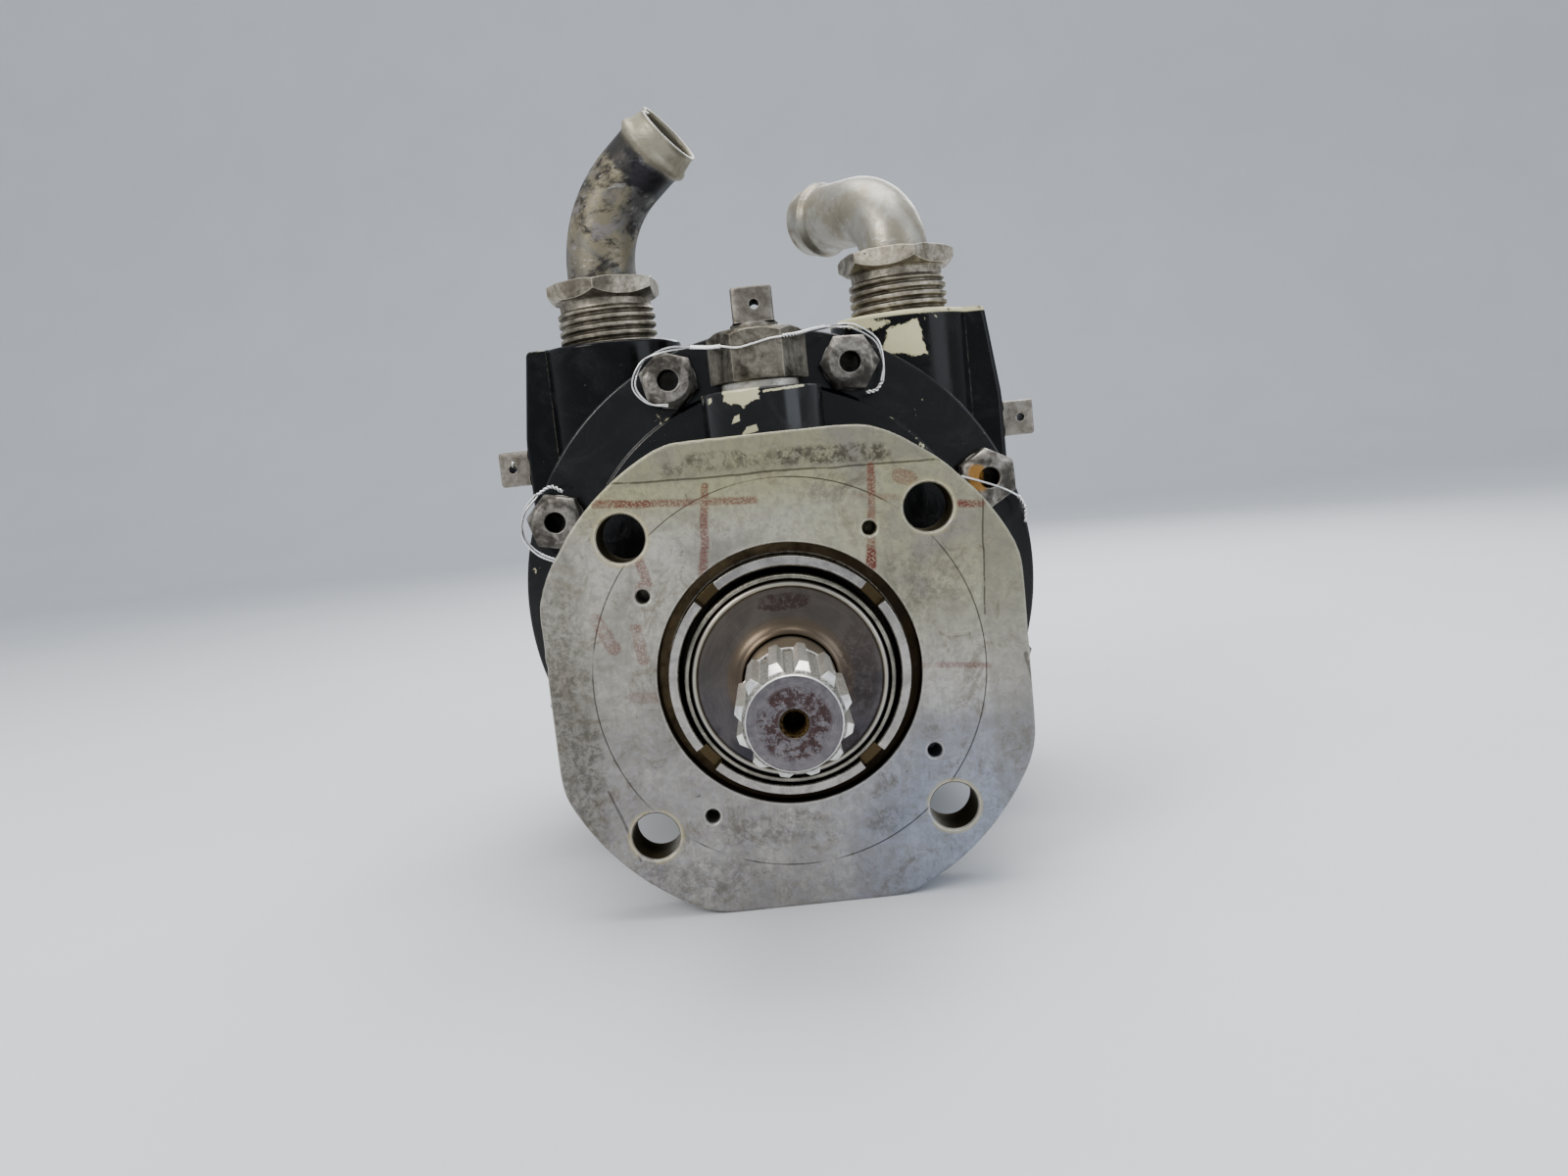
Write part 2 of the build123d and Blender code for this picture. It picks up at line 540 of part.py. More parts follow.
def gear(label, z, first_tooth):
    """A spur gear with its first tooth at an angle from +X, in degrees."""
    half_angle = (pi * MODULE / 2 - BACKLASH) / (MODULE * TEETH)
    radii = [BASE_R + (TIP_R - BASE_R) * i / (SEGMENTS - 1) for i in range(SEGMENTS)]
    flank = [involute_point(r, half_angle) for r in radii]
    foot = degrees(atan2(flank[0][1], flank[0][0]))
    foot_point = ((ROOT_R - 0.4) * cos(radians(foot)), (ROOT_R - 0.4) * sin(radians(foot)))
    with BuildSketch() as tooth:
        with BuildLine():
            Spline(flank)
            lower = Spline([(x, -y) for x, y in flank])
            ThreePointArc(flank[-1], (TIP_R, 0), lower @ 1)
            Line(foot_point, flank[0])
            Line((foot_point[0], -foot_point[1]), lower @ 0)
            Line(foot_point, (foot_point[0], -foot_point[1]))
        make_face()
    with BuildPart() as wheel:
        with BuildSketch(station(GEAR_BACK - RUN)) as profile:
            with Locations((0, z)):
                Circle(ROOT_R)
                with PolarLocations(0, TEETH, start_angle=first_tooth):
                    add(tooth.sketch)
        extrude(profile.sketch, amount=GEAR_BACK - GEAR_FRONT - 2 * RUN)
        disc(GEAR_SEAT_R, GEAR_FRONT, GEAR_BACK, z=z, mode=Mode.SUBTRACT)
        with BuildSketch(station(GEAR_BACK)) as slot:
            with Locations((0, z + GEAR_SEAT_R)):
                Rectangle(KEY, KEY)
        extrude(slot.sketch, amount=GEAR_BACK - GEAR_FRONT, mode=Mode.SUBTRACT)
    finish(wheel, label)


gear("drive_gear", 0, 90)
gear("driven_gear", DRIVEN_Z, 90 + 180 / TEETH)


# ---------------------------------------------------------------- port fittings
def gland_nut(label, x, turn):
    """A hollow hex nut with a threaded shank that clamps a tube collar in its port."""
    root = PORT_THREAD_R - THREAD_DEPTH
    thread = []
    height = PORT_TOP + 1.4
    while height < NUT_UNDER - THREAD_PITCH - 3.0:
        thread += [(root, height), (PORT_THREAD_R, height + 0.8), (PORT_THREAD_R, height + 1.9),
                   (root, height + 2.7)]
        height += THREAD_PITCH
    with BuildPart() as nut:
        turned_up([(TUBE_R + 0.1, COLLAR_TOP), (PORT_THREAD_R - THREAD_PLAY, COLLAR_TOP),
                   (PORT_THREAD_R - THREAD_PLAY, PORT_TOP)] + thread
                  + [(root, NUT_UNDER), (TUBE_R + 0.1, NUT_UNDER)], x, PORT_Y)
        with BuildSketch(Plane.XY.offset(NUT_UNDER)) as hexagon:
            with Locations((x, PORT_Y)):
                RegularPolygon(NUT_FLATS / 2, 6, major_radius=False, rotation=turn)
                Circle(TUBE_R + 0.1, mode=Mode.SUBTRACT)
        extrude(hexagon.sketch, amount=NUT_HEIGHT)
    finish(nut, label)


def port_tube(label, x, path_points, bend_radii):
    """A tube with a clamped collar at its foot and a rolled bead at its free end."""
    with BuildPart() as tube:
        with BuildLine(mode=Mode.PRIVATE) as path:
            FilletPolyline(*path_points, radius=bend_radii)
        start = Plane(origin=path.line @ 0, z_dir=path.line % 0)
        end = Plane(origin=path.line @ 1, z_dir=path.line % 1)
        with BuildSketch(start) as section:
            Circle(TUBE_R)
        sweep(section.sketch, path=path.line)
        turned_up([(0, SEAL_TOP), (COLLAR_R, SEAL_TOP), (COLLAR_R, COLLAR_TOP), (0, COLLAR_TOP)], x, PORT_Y)
        with BuildSketch(end.offset(BEAD_BACK)) as bead:
            Circle(BEAD_R)
        extrude(bead.sketch, amount=BEAD_WIDTH)
        with BuildSketch(start) as bore:
            Circle(TUBE_R - TUBE_WALL)
        sweep(bore.sketch, path=path.line, mode=Mode.SUBTRACT)
    finish(tube, label)


for label, x, turn in (("left_gland_nut", -PORT_X, -3), ("right_gland_nut", PORT_X, 12)):
    gland_nut(label, x, turn)
for label, x in (("left_tube_seal", -PORT_X), ("right_tube_seal", PORT_X)):
    with BuildPart() as tube_seal:
        turned_up([(PORT_BORE_R, SEAL_BOTTOM), (COLLAR_R, SEAL_BOTTOM), (COLLAR_R, SEAL_TOP),
                   (PORT_BORE_R, SEAL_TOP)], x, PORT_Y)
    finish(tube_seal, label)

# the left tube leans in over the case and slightly forward; the right one turns back on itself
LEFT_PATH = [(-PORT_X, PORT_Y, SEAL_TOP), (-PORT_X, PORT_Y, 158.5), (-23.6, 95.0, 182.8)]
RIGHT_PATH = [(PORT_X, PORT_Y, SEAL_TOP), (PORT_X, PORT_Y, 152.5), (27.0, 143.5, 155.5)]
port_tube("left_port_tube", -PORT_X, LEFT_PATH, 40)
port_tube("right_port_tube", PORT_X, RIGHT_PATH, 20)

# ---------------------------------------------------------------- drain fitting and plugs
with BuildPart() as drain_washer:
    turned_up([(DRAIN_THREAD_R, DRAIN_TOP), (GASKET_R, DRAIN_TOP), (GASKET_R, DRAIN_TOP + GASKET_HEIGHT),
               (DRAIN_THREAD_R, DRAIN_TOP + GASKET_HEIGHT)], 0, DRAIN_Y)
finish(drain_washer, "drain_washer")

DRAIN_HEX_BOTTOM = DRAIN_TOP + GASKET_HEIGHT
DRAIN_CONE_TOP = DRAIN_HEX_TOP + 0.6
DRAIN_SQUARE_BOTTOM = DRAIN_CONE_TOP + 1.6
with BuildPart() as drain_adapter:
    upright(DRAIN_THREAD_R - THREAD_PLAY, 71, DRAIN_HEX_BOTTOM, y=DRAIN_Y)
    with BuildSketch(Plane.XY.offset(DRAIN_HEX_BOTTOM)) as hexagon:
        with Locations((0, DRAIN_Y)):
            RegularPolygon(DRAIN_HEX_FLATS / 2, 6, major_radius=False)
    extrude(hexagon.sketch, amount=DRAIN_HEX_TOP - DRAIN_HEX_BOTTOM)
    turned_up([(0, DRAIN_HEX_TOP), (DRAIN_HEX_FLATS / 2 - 0.3, DRAIN_HEX_TOP),
               (DRAIN_HEX_FLATS / 2 - 2.6, DRAIN_CONE_TOP), (0, DRAIN_CONE_TOP)], 0, DRAIN_Y)
    upright(DRAIN_BORE_R, 71, DRAIN_CONE_TOP, y=DRAIN_Y, mode=Mode.SUBTRACT)
finish(drain_adapter, "drain_adapter")

with BuildPart() as drain_plug:
    upright(DRAIN_BORE_R - THREAD_PLAY, 86, DRAIN_CONE_TOP, y=DRAIN_Y)
    upright(7.6, DRAIN_CONE_TOP, DRAIN_SQUARE_BOTTOM, y=DRAIN_Y)
    with BuildSketch(Plane.XY.offset(DRAIN_SQUARE_BOTTOM)) as square:
        with Locations((0, DRAIN_Y)):
            Rectangle(PLUG_SQUARE, PLUG_SQUARE)
    extrude(square.sketch, amount=11)
    disc(WIRE_HOLE_R, DRAIN_Y - 10, DRAIN_Y + 10, 0.6, DRAIN_CONE_TOP + 7, mode=Mode.SUBTRACT)
finish(drain_plug, "drain_plug")


def side_plug(label, side):
    """A square-head plug that closes the drilling in a port pad; side is -1 for left."""
    collar = PORT_PAD_X + PLUG_COLLAR
    reaches = ((PLUG_THREAD_R - THREAD_PLAY, PLUG_REACH, PORT_PAD_X), (7.4, PORT_PAD_X, collar))
    with BuildPart() as plug:
        for radius, inner, outer in reaches:
            with BuildSketch(Plane.YZ.offset(side * inner)) as section:
                with Locations((PORT_Y, PLUG_Z)):
                    Circle(radius)
            extrude(section.sketch, amount=side * (outer - inner))
        with BuildSketch(Plane.YZ.offset(side * collar)) as square:
            with Locations((PORT_Y, PLUG_Z)):
                Rectangle(PLUG_SQUARE, PLUG_SQUARE)
        extrude(square.sketch, amount=side * PLUG_HEAD)
        disc(WIRE_HOLE_R, PORT_Y - 10, PORT_Y + 10, side * (collar + 5), PLUG_Z, mode=Mode.SUBTRACT)
    finish(plug, label)


side_plug("left_side_plug", -1)
side_plug("right_side_plug", 1)


# ---------------------------------------------------------------- locking wires
def lockwire(label, route, radius=0.55):
    """Plain wire along a hand-set route of short straight runs joined by small arcs."""
    with BuildPart() as wire:
        with BuildLine(mode=Mode.PRIVATE) as path:
            FilletPolyline(*route, radius=0.9)
        with BuildSketch(Plane(origin=path.line @ 0, z_dir=path.line % 0)) as section:
            Circle(radius)
        sweep(section.sketch, path=path.line)
    finish(wire, label)


HEAD_FRONT = DISC_FRONT - WASHER_HEIGHT - HEAD_HEIGHT - HEAD_LIP
TOP_WIRE = [(-39, 54.5, 101), (-42, HEAD_FRONT - 0.9, 93), (-36, HEAD_FRONT - 1.2, 99.5),
            (-24, 44, 101), (-9, 20.0, 98), (7, 19.6, 99.5), (20, 37, 101.5), (24, 47, 103.5),
            (30, HEAD_FRONT - 1.3, 103), (39.5, HEAD_FRONT - 1.0, 97), (41.5, HEAD_FRONT - 0.8, 88),
            (35, HEAD_FRONT - 0.8, 82.5)]
LEFT_WIRE = [(-68, HEAD_FRONT - 1.0, 60.5), (-76, HEAD_FRONT - 1.0, 59.5), (-83.5, HEAD_FRONT - 0.9, 54),
             (-84.5, HEAD_FRONT - 0.9, 44), (-77, HEAD_FRONT - 0.9, 38), (-66, HEAD_FRONT - 1.2, 33)]
RIGHT_WIRE = [(64, HEAD_FRONT - 1.6, 50), (73, HEAD_FRONT - 1.2, 47), (81, HEAD_FRONT - 1.2, 42),
              (84, HEAD_FRONT - 0.6, 33)]
lockwire("top_lockwire", TOP_WIRE)
lockwire("left_lockwire", LEFT_WIRE)
lockwire("right_lockwire", RIGHT_WIRE)
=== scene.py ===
import json
from math import ceil, cos, pi, radians, sin, sqrt, tan

import bmesh
import bpy
from mathutils import Matrix, Vector, noise

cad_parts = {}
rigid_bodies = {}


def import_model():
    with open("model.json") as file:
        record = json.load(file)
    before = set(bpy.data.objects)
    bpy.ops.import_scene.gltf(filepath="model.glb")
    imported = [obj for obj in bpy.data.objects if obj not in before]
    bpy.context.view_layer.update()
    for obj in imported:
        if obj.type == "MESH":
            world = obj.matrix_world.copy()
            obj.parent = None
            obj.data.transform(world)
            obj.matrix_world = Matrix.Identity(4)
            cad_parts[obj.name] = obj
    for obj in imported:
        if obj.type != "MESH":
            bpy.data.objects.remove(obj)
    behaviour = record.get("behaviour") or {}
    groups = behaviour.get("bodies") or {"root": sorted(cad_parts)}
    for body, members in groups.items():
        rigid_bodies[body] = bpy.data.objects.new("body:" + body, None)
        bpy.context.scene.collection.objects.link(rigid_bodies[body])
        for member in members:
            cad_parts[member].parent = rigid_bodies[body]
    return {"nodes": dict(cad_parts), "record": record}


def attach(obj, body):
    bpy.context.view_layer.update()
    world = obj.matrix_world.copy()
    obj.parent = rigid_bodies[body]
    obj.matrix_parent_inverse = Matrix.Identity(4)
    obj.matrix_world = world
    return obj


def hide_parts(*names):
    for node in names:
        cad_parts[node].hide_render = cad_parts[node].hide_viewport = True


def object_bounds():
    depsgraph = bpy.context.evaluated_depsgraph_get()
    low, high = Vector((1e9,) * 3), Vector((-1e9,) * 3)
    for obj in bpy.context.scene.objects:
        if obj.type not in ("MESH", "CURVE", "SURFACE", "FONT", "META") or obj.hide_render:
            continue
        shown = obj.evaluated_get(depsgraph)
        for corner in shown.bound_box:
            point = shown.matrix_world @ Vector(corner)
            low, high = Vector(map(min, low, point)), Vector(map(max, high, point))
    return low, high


for spare in list(bpy.data.objects):
    bpy.data.objects.remove(spare)

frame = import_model()
CAD_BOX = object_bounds()
NODES = frame["nodes"]

MM = 0.001
FLOOR_Z = CAD_BOX[0].z


def put(name, data):
    """A new object in the scene."""
    thing = bpy.data.objects.new(name, data)
    bpy.context.scene.collection.objects.link(thing)
    return thing


def spend(mesh, name="work"):
    """The mesh as object data; the editable mesh is freed."""
    data = bpy.data.meshes.new(name)
    mesh.to_mesh(data)
    mesh.free()
    return data


# ---------------- camera, light and floor
CAMERA_AT = Vector((0.85, -326.7, 64.05)) * MM
CAMERA_PITCH = radians(6.7)     # looking down
CAMERA_ROLL = radians(-5.94)
LENS = 25.875                    # a focal length of 1150 pixels in a frame 1600 wide


def make_camera():
    """The photograph's view: close, a little above the shaft, and rolled."""
    forward = Vector((0, cos(CAMERA_PITCH), -sin(CAMERA_PITCH)))
    level = Vector((1, 0, 0))
    upright = level.cross(forward)
    right = cos(CAMERA_ROLL) * level + sin(CAMERA_ROLL) * upright
    up = right.cross(forward)
    data = bpy.data.cameras.new("camera")
    data.sensor_width = 36
    data.lens = LENS
    data.clip_start = 0.01
    camera = put("camera", data)
    axes = Matrix((right, up, -forward)).transposed().to_4x4()
    camera.matrix_world = Matrix.Translation(CAMERA_AT) @ axes
    bpy.context.scene.camera = camera


def area_light(name, place, size, power, colour):
    """A soft rectangular light aimed at the middle of the motor."""
    data = bpy.data.lights.new(name, "AREA")
    data.shape = "RECTANGLE"
    data.size, data.size_y = size
    data.energy = power
    data.color = colour
    light = put(name, data)
    light.location = place
    light.rotation_euler = (Vector((0, 0.03, 0.04)) - Vector(place)).to_track_quat("-Z", "Y").to_euler()


def make_light():
    """A bright ceiling, a soft key from the upper left, a cooler fill from the right, a rim from behind."""
    area_light("ceiling", (0.05, 0.15, 1.1), (1, 0.9), 9, (1, 0.98, 0.95))
    area_light("key", (-0.75, -0.75, 0.75), (0.5, 0.5), 6.5, (1, 0.97, 0.92))
    area_light("fill", (0.95, -0.55, 0.35), (0.6, 0.7), 2.5, (0.88, 0.94, 1))
    area_light("rim", (0.35, 0.95, 0.6), (0.7, 0.4), 4, (0.95, 0.97, 1))
    world = bpy.data.worlds.new("studio")
    world.use_nodes = True
    background = world.node_tree.nodes["Background"].inputs
    background["Color"].default_value = (0.8, 0.84, 0.9, 1)
    background["Strength"].default_value = 0.72
    bpy.context.scene.world = world
    bpy.context.scene.view_settings.look = "AgX - Medium High Contrast"


# ---------------- material building
class Shade:
    """One material, built by short calls. A value is a socket or a number, a colour a socket or a triple.

    A mask is a value from zero to one. Lengths that the methods take as plain numbers are in mm.
    Places and the coordinates in them are in metres.
    """

    def __init__(self, name):
        self.material = bpy.data.materials.new(name)
        self.material.use_nodes = True
        self.tree = self.material.node_tree
        self.surface = self.tree.nodes["Principled BSDF"]
        self.place = self.add("TexCoord").outputs["Object"]

    def add(self, kind, inputs=None, **settings):
        node = self.tree.nodes.new("ShaderNode" + kind)
        for key, value in settings.items():
            setattr(node, key, value)
        for key, value in (inputs or {}).items():
            self.feed(node.inputs[key], value)
        return node

    def feed(self, socket, value):
        if isinstance(value, bpy.types.NodeSocket):
            self.tree.links.new(value, socket)
        elif isinstance(value, tuple) and socket.type == "RGBA":
            socket.default_value = value + (1,)
        else:
            socket.default_value = value

    def set(self, socket, value):
        self.feed(self.surface.inputs[socket], value)

    def math(self, operation, a, b=0, clamp=False):
        return self.add("Math", {0: a, 1: b}, operation=operation, use_clamp=clamp).outputs[0]

    def less(self, a, b):
        return self.math("SUBTRACT", a, b)

    def flip(self, mask):
        return self.less(1, mask)

    def sum(self, a, b):
        return self.math("ADD", a, b)

    def size(self, value):
        return self.math("ABSOLUTE", value)

    def times(self, *values):
        result = values[0]
        for value in values[1:]:
            result = self.math("MULTIPLY", result, value)
        return result

    both = times

    def either(self, *masks):
        result = masks[0]
        for mask in masks[1:]:
            result = self.math("MAXIMUM", result, mask)
        return result

    def shake(self, wave, width):
        """A noise of zero to one as a swing of the given width about zero."""
        return self.times(self.less(wave, 0.5), width)

    def vector(self, operation, a, b=(0, 0, 0)):
        node = self.add("VectorMath", {0: a, 1: b}, operation=operation)
        return node.outputs["Value" if operation in ("DOT_PRODUCT", "LENGTH", "DISTANCE") else "Vector"]

    def parts(self):
        return self.add("SeparateXYZ", {0: self.place}).outputs

    def join(self, x, y, z):
        return self.add("CombineXYZ", {0: x, 1: y, 2: z}).outputs[0]

    def length(self, x, z):
        return self.vector("LENGTH", self.join(x, 0, z))

    def stretch(self, scale, turn):
        return self.add("Mapping", {"Vector": self.place, "Scale": scale, "Rotation": turn}).outputs[0]

    def noise(self, scale, detail=5, rough=0.55, warp=0, place=None, seed=0):
        where = self.vector("ADD", place or self.place, (seed, seed * 0.7, seed * 1.3))
        return self.add("TexNoise", {"Vector": where, "Scale": scale, "Detail": detail,
                                     "Roughness": rough, "Distortion": warp}).outputs["Fac"]

    def step(self, value, low, high, bottom=0, top=1):
        """Smooth step from bottom at low to top at high."""
        return self.add("MapRange", {"Value": value, "From Min": low, "From Max": high, "To Min": bottom,
                                     "To Max": top}, interpolation_type="SMOOTHSTEP").outputs[0]

    def spots(self, low, high, *args, **kinds):
        """The parts of a noise above a level between low and high."""
        return self.step(self.noise(*args, **kinds), low, high)

    def rise(self, length, low, high):
        return self.step(length, low * MM, high * MM)

    def fall(self, length, low, high):
        return self.step(length, low * MM, high * MM, 1, 0)

    def mix(self, factor, a, b):
        return self.add("Mix", {0: factor, 6: a, 7: b}, data_type="RGBA").outputs[2]

    def tint(self, colour, mask, strength, coat):
        """The colour with a coat over it, as strong as strength where the mask is one."""
        return self.mix(self.times(mask, strength), colour, coat)

    def blend(self, factor, a, b):
        """A number between a and b."""
        return self.add("Mix", {0: factor, 2: a, 3: b}, data_type="FLOAT").outputs[0]

    def rounded(self, radius):
        """The surface's direction, turned at edges as if they had this radius."""
        return self.add("Bevel", {"Radius": radius * MM}, samples=6).outputs[0]

    def openness(self, reach):
        """One in the open, less where the part itself is within reach."""
        return self.add("AmbientOcclusion", {"Distance": reach * MM}, samples=4,
                        only_local=True).outputs["AO"]

    def edges(self, radius, low, high):
        """One on convex corners, zero on open surfaces and in inner corners."""
        flat = self.add("NewGeometry").outputs["Normal"]
        corner = self.step(self.flip(self.vector("DOT_PRODUCT", self.rounded(radius), flat)), low, high)
        return self.both(corner, self.step(self.openness(radius * 2.5), 0.78, 0.94))

    def cavity(self, reach, low=0.3, high=0.62):
        """One deep in holes and grooves that are closer than reach across."""
        return self.step(self.openness(reach), low, high, 1, 0)

    def band(self, value, centre, half, soft):
        """One where value is within half of centre."""
        return self.fall(self.size(self.less(value, centre * MM)), half, half + soft)

    def patch(self, x, z, centre, size, ragged, scale=300, soft=0.25, seed=0):
        """A ragged-edged patch with the half sizes given."""
        reach = []
        for value, middle, half in zip((x, z), centre, size):
            share = self.size(self.math("DIVIDE", self.less(value, middle * MM), half * MM))
            reach.append(self.math("POWER", share, 3))
        wobble = self.shake(self.noise(scale, 6, 0.65, seed=seed), ragged)
        return self.step(self.sum(self.sum(*reach), wobble), 1 - soft, 1 + soft, 1, 0)

    def stroke(self, place, a, b, half, soft):
        """One within half of the line from a to b, given as (x, z)."""
        run = Vector((b[0] - a[0], 0, b[1] - a[1])) * MM
        off = self.vector("SUBTRACT", place, (a[0] * MM, 0, a[1] * MM))
        along = self.vector("DOT_PRODUCT", off, tuple(run / run.length_squared))
        along = self.math("MULTIPLY", along, 1, clamp=True)
        near = self.vector("MULTIPLY", self.join(along, along, along), tuple(run))
        return self.fall(self.vector("DISTANCE", off, near), half, half + soft)

    def flake(self, place, corners, ragged):
        """A ragged polygon, its (x, z) corners in order against the clock."""
        sides = []
        for a, b in zip(corners, corners[1:] + corners[:1]):
            out = Vector((b[1] - a[1], 0, a[0] - b[0])).normalized()
            reach = out.x * a[0] + out.z * a[1]
            away = self.sum(self.vector("DOT_PRODUCT", place, tuple(out)), ragged)
            sides.append(self.fall(away, reach - 0.1, reach + 0.1))
        return self.both(*sides)

    def finish(self, colour, metallic, rough, height, depth, strength, radius=None):
        """The material, with relief of height times depth and with edges rounded by radius."""
        self.set("Base Color", colour)
        self.set("Metallic", metallic)
        self.set("Roughness", rough)
        relief = {"Height": height, "Distance": depth * MM, "Strength": strength}
        if radius:
            relief["Normal"] = self.rounded(radius)
        self.set("Normal", self.add("Bump", relief).outputs[0])
        return self.material


BLACK = (0.006, 0.006, 0.007)


def scaled(triple, share, most=1):
    return tuple(min(most, value * share) for value in triple)


def paint_layers(s, chip_level=0.635, wear=1):
    """Gloss black over cream primer over metal: returns colour, metal amount, roughness and height."""
    broad = s.noise(38, 4, 0.6, 0.3, seed=3.1)
    fine = s.noise(420, 6, 0.7, 0.6, seed=1.7)
    chips = s.step(s.sum(s.times(broad, 0.62), s.times(fine, 0.38)), chip_level, chip_level + 0.02)
    edge = s.edges(1.1, 0.03, 0.1)
    worn = s.step(s.times(edge, s.noise(170, 6, 0.7, 0.5, seed=8.3)), 0.47 / wear, 0.53 / wear)
    metal = s.step(s.times(edge, s.noise(260, 6, 0.7, 0.5, seed=4.9)), 0.52 / wear, 0.6 / wear)
    dust = s.spots(0.66, 0.78, 1500, 3, 0.6, seed=2.2)
    film = s.spots(0.42, 0.72, 60, 7, 0.72, 1, seed=5.5)
    black = s.tint(BLACK, film, 0.5, (0.028, 0.027, 0.026))
    black = s.tint(black, dust, 0.4, (0.13, 0.12, 0.11))
    bare = s.either(chips, worn)
    colour = s.mix(bare, black, s.mix(s.noise(700, 4, 0.6), (0.5, 0.47, 0.31), (0.66, 0.63, 0.47)))
    colour = s.mix(metal, colour, (0.62, 0.6, 0.56))
    rough = s.blend(bare, s.blend(film, 0.15, 0.34), 0.7)
    height = s.less(s.times(s.noise(900, 3, 0.6), 0.15), bare)
    return colour, metal, s.blend(metal, rough, 0.38), height


def case_paint():
    s = Shade("case_paint")
    s.set("Specular IOR Level", 0.26)
    colour, metal, rough, height = paint_layers(s)
    x, y, z = s.parts()
    # two large chips below the rim of the right port boss, and a bare strip along its rim
    front = s.fall(y, 92, 94)
    ragged = s.shake(s.noise(300, 9, 0.8, 0.6, seed=4.4), 6 * MM)
    flat = s.join(x, 0, z)
    large = s.flake(flat, [(44, 96), (60.5, 94), (57.5, 106.8), (47, 104.6)], ragged)
    small = s.flake(flat, [(33, 107.5), (43, 104.6), (47.5, 106.6), (36, 111)], ragged)
    lower = s.flake(flat, [(39, 88), (42.5, 87), (43.5, 93), (40.5, 94)], ragged)
    rim = s.both(s.rise(z, 108.4, 109.2), s.rise(x, 0, 1))
    cream = s.either(s.both(front, s.either(large, small, lower)), s.both(rim, s.spots(0.34, 0.44, 150, 5)))
    colour = s.mix(cream, colour, s.mix(s.noise(90, 4), (0.52, 0.49, 0.3), (0.68, 0.65, 0.45)))
    rough = s.blend(cream, rough, 0.62)
    return s.finish(colour, s.both(metal, s.flip(cream)), rough, s.less(height, cream), 0.12, 0.8, 0.5)


def brushed(name, light, dark, rough, grime, scale=220, speck=0.6, stain=None):
    """Handled metal: mottled tone, dark grime in patches and pits, bright worn edges, and painted shade in
    hollows.
    """
    s = Shade(name)
    mottle = s.noise(scale, 7, 0.68, 0.6, seed=2.7)
    patches = s.spots(0.4, 0.66, scale * 0.28, 5, 0.6, 0.8, seed=6.1)
    pits = s.spots(0.6, 0.7, scale * 7, 3, 0.6, seed=9.2)
    edge = s.edges(0.64, 0.02, 0.1)
    dirty = s.times(patches, s.flip(edge), grime)
    colour = s.mix(s.step(mottle, 0.3, 0.7), dark, light)
    colour = s.mix(dirty, colour, scaled(dark, 0.28))
    colour = s.tint(colour, pits, speck, scaled(dark, 0.2))
    colour = s.tint(colour, edge, 0.55, scaled(light, 1.35))
    # painted shade: the colour goes nearly black deep in holes and grooves
    colour = s.tint(colour, s.cavity(9), 0.9, scaled(dark, 0.08))
    if stain:
        x, y, z = s.parts()
        centre, size, tone = stain
        spot = s.both(s.patch(x, z, centre, size, 2.4, 300, 0.6), s.step(y, 70 * MM, 72 * MM, 0.8, 0))
        colour = s.mix(spot, colour, tone)
    dull = s.blend(s.either(dirty, s.times(pits, 0.6)), s.blend(mottle, *rough), 0.75)
    return s.finish(colour, 1, dull, s.less(s.times(mottle, 0.5), pits), 0.05, 0.7, 0.4)


def turned_metal(name, light, dark, rough=(0.2, 0.34), grooves=3200, deep=None):
    """Lathe-turned metal about an axis along Y, with fine rings and soft stains, and a darker tone past a
    given depth.
    """
    s = Shade(name)
    x, y, z = s.parts()
    radius = s.length(x, z)
    ring = s.noise(grooves, 2, 0.5, place=s.join(radius, y, 0))
    mottle = s.noise(160, 7, 0.7, 0.7, seed=3.9)
    colour = s.mix(s.step(mottle, 0.32, 0.68), dark, light)
    colour = s.tint(colour, s.step(ring, 0.35, 0.65), 0.3, scaled(dark, 0.5))
    speck = s.spots(0.62, 0.7, 900, 5, 0.8, seed=1.4)
    colour = s.tint(colour, speck, 0.6, scaled(dark, 0.3))
    if deep:
        depth, tone = deep
        colour = s.mix(s.rise(y, depth, depth + 1), colour, tone)
    return s.finish(colour, 1, s.blend(speck, s.blend(mottle, *rough), 0.6), ring, 0.02, 0.5, 0.4)


